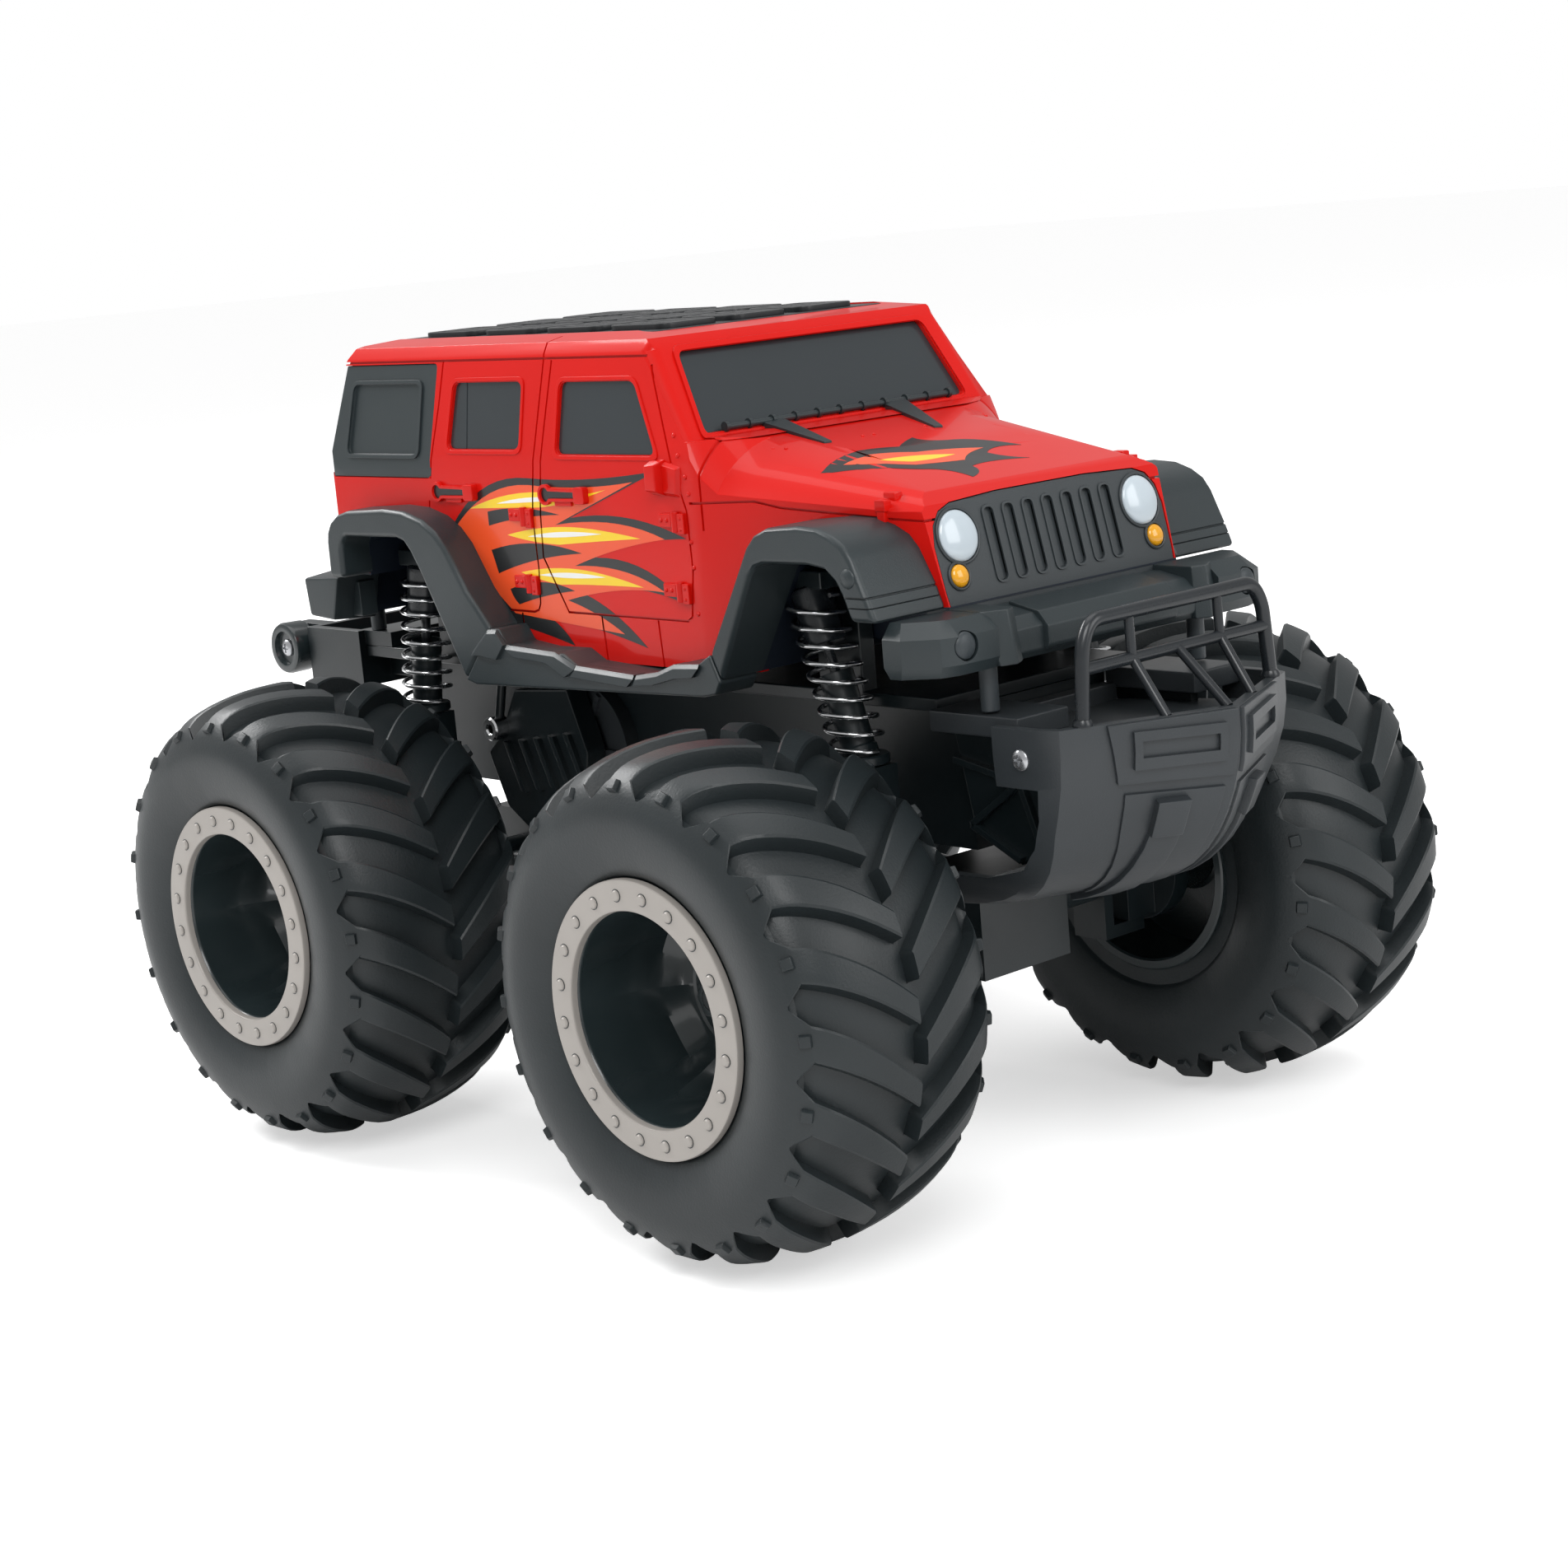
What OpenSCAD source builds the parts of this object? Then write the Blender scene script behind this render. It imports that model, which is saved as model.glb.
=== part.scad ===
// Remote control monster car: boxy off-road body on a sprung four-wheel chassis.
// Millimetres. +X is the front, +Y the left side, +Z up, z = 0 the ground under the tyres.
// The origin is midway between the front and the rear end, on the ground, in the middle plane.

/* [Wheels] */
// Distance between the front and the rear axle
wheelbase = 157.3; // [156:0.1:158]
// Radius of a tyre over its tread blocks
tyre_r = 56.7; // [56:0.1:57]
// Width of a tyre
tyre_w = 55; // [54:0.5:55]
// Distance of a tyre's middle plane from the car's middle plane
tyre_mid_y = 76.5; // [76.5:0.1:78]
// Outer radius of the clamp ring on each rim
ring_r = 30; // [29.5:0.1:30]
// Inner radius of the clamp ring
ring_in_r = 23.2; // [23.2:0.1:23.6]
// Radius of the wheel spindles
spindle_r = 2.5; // [2.2:0.1:2.6]

/* [Body] */
// Height of the roof over the ground
roof_z = 193.5; // [193:0.1:194]
// Half width of the body at the doors
side_y = 48.5; // [48:0.1:48.5]
// Half width of the body at the roof gutter
gutter_y = 45; // [44.5:0.1:45.5]
// Wall thickness of the body shell
shell_wall = 2.4; // [2.2:0.1:2.6]
// Thickness of the panes and panels let into the shell
inlay_t = 1.2; // [1:0.1:1.4]
// Half width over the fender flares
flare_y = 57.2; // [57:0.1:58]

/* [Suspension] */
// Distance of the shock absorbers from the middle plane
shock_y = 38; // [38:0.1:38.2]
// Mean radius of a spring coil
coil_r = 5.2; // [5.2:0.05:5.3]
// Thickness of the spring wire
wire_d = 1.2; // [1:0.1:1.2]
// Turns of each spring
coil_turns = 9; // [7:1:9]

/* [Steering] */
// Distance of the kingpins from the middle plane
kingpin_y = 44; // [44:0.1:44.2]
// Length of the steering arms
arm_len = 16; // [16:0.1:16.2]

/* [Guard and rollers] */
// Foremost point of the front guard
nose_x = 156; // [155.5:0.1:156.5]
// Radius of the rear rollers
roller_r = 7; // [6.5:0.1:7]

/* [Hidden] */
$fn = 48;

right = -1;
left = 1;
axle_x = wheelbase / 2;
axle_z = tyre_r;
run_gap = 0.08;
eps = 0.01;

// Body stations along the car
tail_x = -101.5;
tail_top_x = -89;
roof_front_x = 30;
cowl_x = 45;
cowl_z = 169.5;
hood_front_x = 101;
hood_front_z = 157.5;
grille_top_x = 105;
grille_top_z = 155;
grille_low_x = 110;
shell_front_z = 134;
shell_rear_z = 136;
rocker_z = 118.8;
belt_z = 165;

// Wheel arch outlines in the side view, counted from the ground
rear_arch = [
  [-35.3, 112.5], [-49.9, 138.7], [-54.1, 144], [-58.8, 146.5], [-80.4, 146.2], [-83.1, 144.8]
];
rear_flare = [
  [-89.2, 145], [-87, 149.9], [-78.9, 153.1], [-63.2, 153.9], [-47.5, 151.5], [-38.5, 145.1],
  [-31.5, 134.8], [-23.2, 125.9]
];
front_arch = [[59.3, 117], [73.4, 143.8], [86.9, 144.8], [98.5, 144.1]];
front_flare = [[56.4, 124.5], [72.5, 149.5], [77, 152.4], [87.9, 153.1], [98, 151.5]];

// Shock absorbers: the top end and the sideways shift per unit of drop
shock_top_z = 137;
front_shock_x = 69.5;
front_lean = 18.5;
rear_shock_x = -75;
rear_lean = -8.2;
tube_r = 4.1;
tube_bore_r = 3.4;
rod_r = 1.2;
spring_top_z = 136;
spring_low_z = 101.4;

// Chassis
tub_y = 22;
tub_low_z = 70;
tub_high_z = 78;
tub_step_x = 52;
tub_end_x = 99;
deck_z = 110;
deck_t = 3;
deck_y = 31;
tower_y = 41;
door_x = 26;
door_y = 17;
door_gap = 0.8;
hinge_x = -24.2;
hinge_z = 71.3;
hinge_r = 0.6;
switch_x = 40;

// Guard: half width at the shoulders, and the height of its rim
guard_y = 38;
rim_z = 110;
guard_screw_x = 129.5;
guard_screw_z = 103.6;

// Rear frame and rollers
roller_x = -nose_x + roller_r;
roller_z = 111;
roller_out_y = 36;
roller_in_y = 29;
screw_r = 1.4;

module prism_y(points, y0, y1) {
  translate([0, y1, 0]) rotate([90, 0, 0]) linear_extrude(y1 - y0) polygon(points);
}

module prism_x(points, x0, x1) {
  translate([x0, 0, 0]) rotate([90, 0, 90]) linear_extrude(x1 - x0) polygon(points);
}

module box(lo, hi) {
  translate(lo) cube(hi - lo);
}

module both_sides() {
  children();
  mirror([0, 1, 0]) children();
}

module rod(a, b, r) {
  d = b - a;
  translate(a) rotate([0, acos(d[2] / norm(d)), atan2(d[1], d[0])]) cylinder(h = norm(d), r = r);
}

module rod_y(x, z, y0, y1, r) {
  translate([x, y1, z]) rotate([90, 0, 0]) cylinder(h = y1 - y0, r = r);
}

// ---- Body shell and what is let into it ----

function side_outline(i) = [
  [tail_x + i, rocker_z - 2], [tail_x + 0.5 + i, 150], [tail_x + 3.5 + i, 162],
  [tail_top_x + i, 189], [tail_top_x + 3.5 + i, roof_z - 1 - i], [tail_top_x + 12, roof_z - i],
  [roof_front_x - 12, roof_z - i], [roof_front_x - 1 - i, roof_z - 1.5 - i],
  [roof_front_x + 1.5 - i, roof_z - 4 - i], [cowl_x - 1.5 - i, cowl_z - i],
  [cowl_x + 2, cowl_z - i], [75, 164.2 - i], [hood_front_x - i, hood_front_z - i],
  [grille_top_x - i, grille_top_z - i], [grille_low_x - i, shell_front_z],
  [grille_low_x - i, rocker_z - 2]
];

function half_plan(i) = [
  [tail_x, 44.5 - i], [tail_x + 6, side_y - i], [cowl_x, side_y - i], [58, 45.5 - i],
  [hood_front_x - 2, 38.5 - i], [grille_low_x + 2, 35.5 - i]
];

function half_section(i) = [
  [side_y - i, rocker_z - 3], [side_y - i, belt_z], [gutter_y - i, 189.5],
  [gutter_y - 1.2 - i, roof_z - 1.5 - i], [gutter_y - 8, roof_z - i]
];

function flip(points) = [for (k = [len(points) - 1:-1:0]) [points[k][0], -points[k][1]]];
function flip_x(points) = [for (k = [len(points) - 1:-1:0]) [-points[k][0], points[k][1]]];

module body_solid(i) {
  intersection() {
    prism_y(side_outline(i), -60, 60);
    linear_extrude(roof_z + 10) polygon(concat(half_plan(i), flip(half_plan(i))));
    prism_x(concat(half_section(i), flip_x(half_section(i))), tail_x - 1, grille_low_x + 1);
  }
}

module skin() {
  difference() {
    body_solid(0);
    body_solid(inlay_t);
  }
}

// The shell's own arches; their edges lie hidden behind the flares
module arch_cuts() {
  prism_y(concat(rear_arch, [
    [-84, shell_rear_z], [tail_x - 5, shell_rear_z], [tail_x - 5, 105], [-35.3, 105]
  ]), -60, 60);
  prism_y([
    [58, 105], [59.5, 120], [71.5, 144.5], [76, 146.5], [97, 146.5], [101, 143],
    [102, shell_front_z], [grille_low_x + 5, shell_front_z], [grille_low_x + 5, 105]
  ], -60, 60);
}

// Room for the front springs in the shell's side walls and in the flares
module spring_room() {
  for (side = [right, left]) along_shock(front_shock_x, front_lean, side)
    translate([0, 0, -40]) cylinder(h = 45, r = coil_r + wire_d);
}

door_panes = [
  [[-42.8, 183.3], [-16, 183.3], [-16.9, 167.6], [-45.3, 167.6]],
  [[-1.3, 183], [25.4, 183], [33.4, 166.6], [-2.5, 166.6]]
];
quarter_pane = [[-91, 188], [-49.7, 188], [-53.2, 160.4], [-98.5, 160.4]];

module door_pane_prisms() {
  for (pane = door_panes) prism_y(pane, -60, 60);
}

module quarter_prism() {
  prism_y(quarter_pane, -60, 60);
}

// The windshield and the roof panel lie in the skin seen from the front and from above
module windshield_prism() {
  prism_x([[-41, 170.3], [41, 170.3], [38, 188.5], [-38, 188.5]], 20, 60);
}

module roof_prism() {
  linear_extrude(roof_z + 1) polygon([
    [tail_top_x + 8, -36], [roof_front_x - 8, -37], [roof_front_x - 8, 37], [tail_top_x + 8, 36]
  ]);
}

// The opening in the nose: flat below, with arched shoulders
grille_half = [[35.6, 136.4], [35.6, 148.5], [33.8, 152.6], [28.5, 154.8], [0, 155]];

module grille_prism() {
  prism_x(concat(grille_half, flip_x(grille_half)), 90, 120);
}

module body_shell() {
  color("#d8201a") difference() {
    body_solid(0);
    body_solid(shell_wall);
    arch_cuts();
    spring_room();
    box([-120, -60, 100], [120, 60, rocker_z]);
    intersection() {
      skin();
      union() {
        door_pane_prisms();
        quarter_prism();
        windshield_prism();
        roof_prism();
        grille_prism();
      }
    }
  }
}

module inlay() {
  intersection() {
    skin();
    children();
  }
}

module roof_panel() {
  color("#15171a") {
    inlay() roof_prism();
    for (row = [-1:1], k = [0:2])
      box([-70 + 32 * k, 22 * row - 7, roof_z], [-48 + 32 * k, 22 * row + 7, roof_z + 1]);
  }
}

module windshield() {
  color("#30383d") inlay() windshield_prism();
}

module side_windows() {
  color("#30383d") inlay() door_pane_prisms();
}

module quarter_panels() {
  color("#232a2e") inlay() quarter_prism();
}

head_y = 28.6;
head_z = 147.9;
head_r = 5.6;
turn_y = 30.9;
turn_z = 139.8;
turn_r = 2.5;
nose_tilt = 13.4;

// A round piece on the sloping nose, with its axis along the nose's normal
module on_nose(y, z, r, depth, stand) {
  slope = (grille_low_x - grille_top_x) / (grille_top_z - shell_front_z);
  translate([grille_top_x + (grille_top_z - z) * slope, y, z]) rotate([0, 90 - nose_tilt, 0])
    translate([0, 0, -depth]) cylinder(h = depth + stand, r = r);
}

module lamp_holes() {
  both_sides() {
    on_nose(head_y, head_z, head_r, 6, 6);
    on_nose(turn_y, turn_z, turn_r, 6, 6);
  }
}

module grille_panel() {
  color("#2b3236") difference() {
    inlay() grille_prism();
    lamp_holes();
  }
}

module headlight_lenses() {
  color("#d5dde2") both_sides() difference() {
    on_nose(head_y, head_z, head_r, 4, 1.4);
    body_solid(inlay_t);
  }
}

module turn_lenses() {
  color("#f0a000") both_sides() difference() {
    on_nose(turn_y, turn_z, turn_r, 4, 1);
    body_solid(inlay_t);
  }
}

module door_handles() {
  color("#c01c17") both_sides() for (x = [-42.5, -1.5]) difference() {
    box([x - 3, side_y, 155.6], [x + 8, side_y + 1.8, 158.8]);
    box([x - 1.8, side_y - 1, 156.6], [x + 5, side_y + 1, 157.8]);
  }
}

module door_hinges() {
  color("#d8201a") both_sides() {
    for (x = [-12.5, 36.5], z = [135, 150])
      box([x - 2.2, side_y, z - 1.3], [x + 2.2, side_y + 1.2, z + 1.3]);
    box([32.5, side_y, 160], [37, side_y + 5.5, 166]);
  }
}

module hood_latches() {
  color("#d8201a") both_sides() difference() {
    box([95, 37.2, 156.4], [98, 40.4, 160.4]);
    body_solid(0);
  }
}

module wipers() {
  color("#2a3034") for (y = [-24, 6]) difference() {
    rod([cowl_x + 5.5, y - 6, cowl_z + 0.9], [cowl_x - 0.2, y + 8, cowl_z + 2], 1.1);
    body_solid(0);
  }
}

module flare_band() {
  prism_y(concat([[-83.1, shell_rear_z]], [[-89.2, shell_rear_z]], rear_flare, [
    [-15, 124.5], [40, 124], [56.4, 124.5], [58.4, 117], [55, 116.2], [-33.2, 112.5]
  ], rear_arch), 30, flare_y);
  prism_y(concat(front_flare, [
    [103.9, 147.9], [107.6, 138.7], [109.5, shell_front_z - 0.3], [102, shell_front_z - 0.3]
  ], [for (k = [len(front_arch) - 1:-1:1]) front_arch[k]], [[58.4, 117]]), 30, flare_y);
}

// One piece a side: the rear flare, the step under the doors and the front fender
module fender_trim(side) {
  color("#2a3135") mirror([0, side < 0 ? 1 : 0, 0]) difference() {
    flare_band();
    body_solid(0);
    spring_room();
    box([-120, 0, 100], [56, 44.5, 170]);
  }
}

bumper_low_z = 122;
bumper_top_z = 133.4;
bumper_plan = [
  [110.3, 0], [110.3, 57], [115, 57], [121, 51], [122.5, 38], [124, 36], [124, 30], [121.5, 28],
  [121.5, 0]
];

module front_bumper() {
  color("#2a3034") difference() {
    translate([0, 0, bumper_low_z]) linear_extrude(bumper_top_z - bumper_low_z)
      polygon(concat(bumper_plan, flip(bumper_plan)));
    // The middle stands lower than the ends
    prism_y([[116, 140], [116, 132.4], [130, 130], [130, 140]], -36, 36);
    both_sides() fog_seat();
  }
}

module fog_seat() {
  translate([117.5, 44.5, 128]) rotate([0, 90, 0]) cylinder(h = 10, r = 2.4);
}

module fog_lamps() {
  color("#353c40") both_sides() translate([117.5, 44.5, 128]) {
    rotate([0, 90, 0]) cylinder(h = 5, r = 2.4);
  }
}

module rear_bumper() {
  color("#2a3034") translate([0, 0, bumper_low_z + 0.5]) linear_extrude(13) polygon([
    [-104, -46], [-88, -46], [-88, -55], [-102, -55], [-118, -46], [-118, 46], [-102, 55],
    [-88, 55], [-88, 46], [-104, 46]
  ]);
}

floor_y = 26;

module body_floor() {
  color("#14181a") difference() {
    union() {
      box([-96, -floor_y, 124], [102, floor_y, 148]);
      intersection() {
        box([-32, -side_y, 122], [56, side_y, 124.5]);
        body_solid(shell_wall);
      }
    }
    box([-94, -floor_y + 2, 126], [100, floor_y - 2, 150]);
  }
}

front_post = [117, 33];
rear_post = [-112, 29];
rail_z = 117;

module body_posts() {
  color("#40474b") both_sides() {
    translate([front_post[0], front_post[1], rim_z + 2])
      cylinder(h = bumper_low_z - rim_z - 2, r = 2);
    translate([rear_post[0], rear_post[1], rail_z])
      cylinder(h = bumper_low_z + 0.5 - rail_z, r = 2);
  }
}

// ---- Chassis ----

tub_side = [
  [-tub_end_x, tub_high_z], [-tub_step_x - 4, tub_high_z], [-tub_step_x, tub_low_z],
  [tub_step_x, tub_low_z], [tub_step_x + 4, tub_high_z], [tub_end_x, tub_high_z],
  [tub_end_x, deck_z], [-tub_end_x, deck_z]
];
tub_hollow = [
  [-tub_end_x + 3, tub_high_z + 3], [-tub_step_x - 2, tub_high_z + 3],
  [-tub_step_x + 2, tub_low_z + 3], [tub_step_x - 2, tub_low_z + 3],
  [tub_step_x + 2, tub_high_z + 3], [tub_end_x - 3, tub_high_z + 3],
  [tub_end_x - 3, deck_z + 1], [-tub_end_x + 3, deck_z + 1]
];

module chassis_tub() {
  color("#23292c") difference() {
    prism_y(tub_side, -tub_y, tub_y);
    prism_y(tub_hollow, -tub_y + 2.6, tub_y - 2.6);
    // Battery opening, hinge pocket and switch slot in the belly
    box([-door_x, -door_y, tub_low_z - 1], [door_x, door_y, tub_low_z + 4]);
    box([switch_x - 4, -2.5, tub_low_z - 1], [switch_x + 4, 2.5, tub_low_z + 4]);
    rod_y(hinge_x, hinge_z, -door_y - 1.9, door_y + 1.9, hinge_r + run_gap);
  }
}

module tower(x) {
  both_sides() {
    box([x - 7, floor_y + 0.6, deck_z + deck_t], [x + 7, deck_y, shock_top_z + 4]);
    box([x - 7, deck_y - eps, shock_top_z], [x + 7, tower_y, shock_top_z + 4]);
  }
}

module chassis_deck() {
  color("#1f2528") {
    box([-tub_end_x - 17, -deck_y, deck_z], [tub_end_x, deck_y, deck_z + deck_t]);
    tower(front_shock_x);
    tower(rear_shock_x);
  }
}

case_x = -32;
case_z = 90.5;
case_r = 17;

module gear_case_cover() {
  color("#2b3235") translate([case_x, -tub_y, case_z]) rotate([90, 0, 0]) {
    cylinder(h = 4, r = case_r);
    cylinder(h = 5.5, r = 5);
    for (k = [0:5]) rotate([0, 0, 60 * k]) translate([4.9, -0.8, 3.9]) cube([11.5, 1.6, 1]);
  }
}

module battery_pack() {
  color("#3c6e9e") box([-24, -15, tub_low_z + 4.2], [24, 15, tub_low_z + 20]);
}

// A flat lid whose rear edge is a round barrel on two pins
module battery_door() {
  color("#262c2f") {
    box(
      [hinge_x, -door_y + door_gap, tub_low_z + 0.2],
      [door_x - door_gap, door_y - door_gap, tub_low_z + 2.4]
    );
    rod_y(hinge_x, hinge_z, -door_y + door_gap, door_y - door_gap, 1.05);
    rod_y(hinge_x, hinge_z, -door_y - 1.6, door_y + 1.6, hinge_r);
  }
}

module power_switch() {
  color("#b8bcbe") {
    box([switch_x - 1.5, -2, tub_low_z - 1.2], [switch_x + 1.5, 2, tub_low_z + 3.4]);
    box([switch_x - 1.5, -3.6, tub_low_z + 3.3], [switch_x + 1.5, 3.6, tub_low_z + 4.3]);
  }
}

// Front guard: a bow-shaped plate with a sharp nose and a belly that sweeps back
function guard_outline(t) = [
  [96, 66.8 + t], [112, 67.6 + t], [127, 71.5 + t], [140 - t, 78.5 + t * 0.7],
  [149.5 - t, 87.5 + t * 0.3], [154.2 - t, 98], [nose_x - t, rim_z - 4], [nose_x - t, rim_z + 2],
  [96, rim_z + 2]
];
function guard_half_plan(t) = [
  [96, guard_y - t], [134 - t * 0.4, guard_y - t], [139.5 - t * 0.9, 36.2 - t], [nose_x - t * 1.15, 0]
];
function guard_half_section(t) = [
  [26 - t * 0.6, 60], [28 - t * 0.8, 70], [33 - t, 84], [guard_y - t, 98], [guard_y - t, rim_z + 5]
];

module guard_solid(t) {
  intersection() {
    prism_y(guard_outline(t), -60, 60);
    linear_extrude(150) polygon(concat(guard_half_plan(t), flip(guard_half_plan(t))));
    prism_x(concat(guard_half_section(t), flip_x(guard_half_section(t))), 90, 160);
  }
}

module front_guard() {
  color("#2d3438") difference() {
    guard_solid(0);
    guard_solid(2.6);
    // The rim falls from the side rails to the nose
    box([128, -60, rim_z], [170, 60, 130]);
    // The tub reaches in from behind
    box([90, -tub_y - 0.6, 60], [tub_end_x + 0.5, tub_y + 0.6, 130]);
    // Open behind
    box([90, -guard_y + 2.6, 72], [100, guard_y - 2.6, 130]);
    both_sides() rod_y(guard_screw_x, guard_screw_z, 30, 45, screw_r);
  }
  color("#2d3438") both_sides() {
    box([100.5, 20, rim_z - 3], [127, guard_y - 2.6, rim_z + 2]);
  }
  color("#2d3438") box([tub_end_x, -20.5, deck_z - 16], [104, 20.5, deck_z - 2]);
  color("#2d3438") box([103.9, -20.5, deck_z - 6], [134, 20.5, deck_z - 3]);
  color("#2d3438") box([100.5, -35.4, deck_z - 6], [127, -20.4, deck_z - 3]);
  color("#2d3438") box([100.5, 20.4, deck_z - 6], [127, 35.4, deck_z - 3]);
}

tube_thick = 1.55;
cross_z = 121.4;

// A slanting bar from the cross tube down to a round foot on the guard's rim
module strut(y, foot) {
  rod([140, y, cross_z], [foot[0], foot[1], rim_z + 1.1], 1.05);
  translate([foot[0], foot[1], rim_z]) cylinder(h = 2.2, r = 1.9);
}

module bull_bar() {
  foot = [139.95, 30.1, rim_z];
  knee = [139.8, 28.6, 126.5];
  bend = [139.7, 27, 129.8];
  shoulder = [139.7, 23.3, 131.1];
  joint_r = tube_thick + 0.25;
  color("#23292c") {
    both_sides() {
      translate(foot) cylinder(h = 3, r = joint_r + 0.2);
      rod(foot + [0, 0, 1.5], knee, tube_thick);
      translate(knee) sphere(joint_r);
      rod(knee, bend, tube_thick);
      translate(bend) sphere(joint_r);
      rod(bend, shoulder, tube_thick);
      translate(shoulder) sphere(joint_r);
      rod([140, 14, cross_z], [139.7, 14, shoulder[2]], 1.05);
      strut(14, [148, 13.7]);
    }
    strut(0, [153, 0]);
    rod_y(shoulder[0], shoulder[2], -shoulder[1], shoulder[1], tube_thick);
    rod_y(140, cross_z, -29, 29, 1.3);
  }
}

module frame_screws() {
  color("#b9bec2") both_sides() {
    rod_y(guard_screw_x, guard_screw_z, 33, guard_y + 0.2, screw_r);
    rod_y(guard_screw_x, guard_screw_z, guard_y + 0.2 - eps, guard_y + 1.4, 2.4);
    rod_y(roller_x, roller_z, 24, roller_out_y + 0.3, screw_r);
    rod_y(roller_x, roller_z, roller_out_y + 0.3 - eps, roller_out_y + 1.2, 2.4);
  }
}

module rear_frame() {
  color("#23292c") difference() {
    union() {
      box([-141, -33, 102], [-116.2, 33, rail_z]);
      box([-116.3, -24, 104], [-tub_end_x, 24, deck_z]);
      box([-116.3, -deck_y, 113], [-104, deck_y, rail_z]);
      both_sides() box([-154, 23.5, 105.5], [-140.9, 28.5, rail_z]);
    }
    box([-138.5, -30.5, 104.5], [-118.7, 30.5, 130]);
    both_sides() rod_y(roller_x, roller_z, 20, 40, screw_r);
  }
}

module roller(side) {
  y0 = side > 0 ? roller_in_y : -roller_out_y;
  color("#1b1f21") difference() {
    rod_y(roller_x, roller_z, y0, y0 + roller_out_y - roller_in_y, roller_r);
    rod_y(roller_x, roller_z, y0 - 1, y0 + 10, screw_r + run_gap);
  }
}

// ---- Shock absorbers ----

// Along a shock: local -Z runs down from the top end, leaning along the car
module along_shock(x, lean, side) {
  translate([x, side * shock_y, shock_top_z]) rotate([0, -lean, 0]) children();
}

module shock_rods(x, lean) {
  color("#c3c8cb") for (side = [right, left]) difference() {
    union() {
      along_shock(x, lean, side) translate([0, 0, -30]) cylinder(h = 36, r = rod_r);
      along_shock(x, lean, side) translate([0, 0, -1.3]) cylinder(h = 4, r = 3.6);
    }
    translate([x - 20, side * shock_y - 20, shock_top_z]) cube(40);
  }
}

tube_top = 19.5;
tube_low = 42;
seat_z = 99;
seat_t = 2.2;

module shock_tubes(x, lean) {
  color("#1c2022") for (side = [right, left]) difference() {
    union() {
      along_shock(x, lean, side)
        translate([0, 0, -tube_low]) cylinder(h = tube_low - tube_top, r = tube_r);
      // Level seat under the spring
      translate([x + (shock_top_z - seat_z) * tan(lean), side * shock_y, seat_z])
        cylinder(h = seat_t, r = coil_r + 0.7);
    }
    along_shock(x, lean, side) translate([0, 0, -37.5]) cylinder(h = 30, r = tube_bore_r);
  }
}

// A helix that leans with its shock, swept with a round wire
coil_steps = 10;
wire_sides = 6;
function helix_point(t, x, lean, side) =
  let (z = spring_top_z - wire_d / 2 - t * (spring_top_z - spring_low_z - wire_d))
  [
    x + (shock_top_z - z) * tan(lean) + coil_r * cos(360 * coil_turns * t),
    side * shock_y + coil_r * sin(360 * coil_turns * t),
    z
  ];
function helix_ring(t, x, lean, side) =
  let (turn = 360 * coil_turns * t, c = helix_point(t, x, lean, side))
  [
    for (k = [0:wire_sides - 1])
      let (a = 360 * k / wire_sides)
      c + wire_d / 2 * [cos(a) * cos(turn), cos(a) * sin(turn), sin(a)]
  ];

module spring(x, lean, side) {
  rings = coil_turns * coil_steps;
  n = wire_sides;
  points = [for (r = [0:rings]) each helix_ring(r / rings, x, lean, side)];
  walls = [
    for (r = [0:rings - 1], k = [0:n - 1])
      [r * n + k, r * n + (k + 1) % n, (r + 1) * n + (k + 1) % n, (r + 1) * n + k]
  ];
  caps = [[for (k = [n - 1:-1:0]) k], [for (k = [0:n - 1]) rings * n + k]];
  color("#c9ced1") polyhedron(points, concat(walls, caps), 4);
}

// ---- Axles ----

diff_half_x = 11.6;
yoke_y = 36.5;
ear_z = 11;

module axle_beam(x, inward) {
  box([x - diff_half_x, -14, axle_z - 11.5], [x + diff_half_x, 14, axle_z + 11.8]);
  rod_y(x, axle_z, -yoke_y + 3, yoke_y - 3, 5);
  // Link arms that run in under the belly
  both_sides() rod([x - inward * 2, 20, axle_z], [x - inward * 40, 20, axle_z + 4.2], 2);
}

// Post under a shock: its foot on the beam, its top at the tube
module shock_post(x, top_x, lean) {
  both_sides() difference() {
    union() {
      box([x - 5, 33.5, axle_z + 2], [x + 5, yoke_y, axle_z + 34]);
      box([top_x - 5.5, 33.5, axle_z + 31], [top_x + 5.5, 42.2, axle_z + 42]);
      prism_y([
        [x - 5, axle_z + 20], [x + 5, axle_z + 20], [top_x + 5.5, axle_z + 31],
        [top_x - 5.5, axle_z + 31]
      ], 33.5, yoke_y);
    }
    along_shock(shock_anchor(x), lean, left) translate([0, 0, -tube_low]) cylinder(h = 30, r = tube_r);
  }
}

function shock_anchor(x) = x > 0 ? front_shock_x : rear_shock_x;

front_foot_x = front_shock_x + 41 * sin(front_lean);
rear_foot_x = rear_shock_x + 41 * sin(rear_lean);

module front_axle() {
  color("#24292c") difference() {
    union() {
      axle_beam(axle_x, 1);
      shock_post(axle_x, front_foot_x, front_lean);
      both_sides() {
        box([axle_x - 5, 33.5, axle_z - ear_z - 3], [axle_x + 5, yoke_y, axle_z + ear_z + 3]);
        for (z = [-ear_z - 3, ear_z])
          box([axle_x - 5, 33.5, axle_z + z], [axle_x + 5, 47, axle_z + z + 3]);
      }
    }
    both_sides() translate([axle_x, kingpin_y, axle_z - 20]) cylinder(h = 40, r = 2.4 + run_gap);
  }
}

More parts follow.
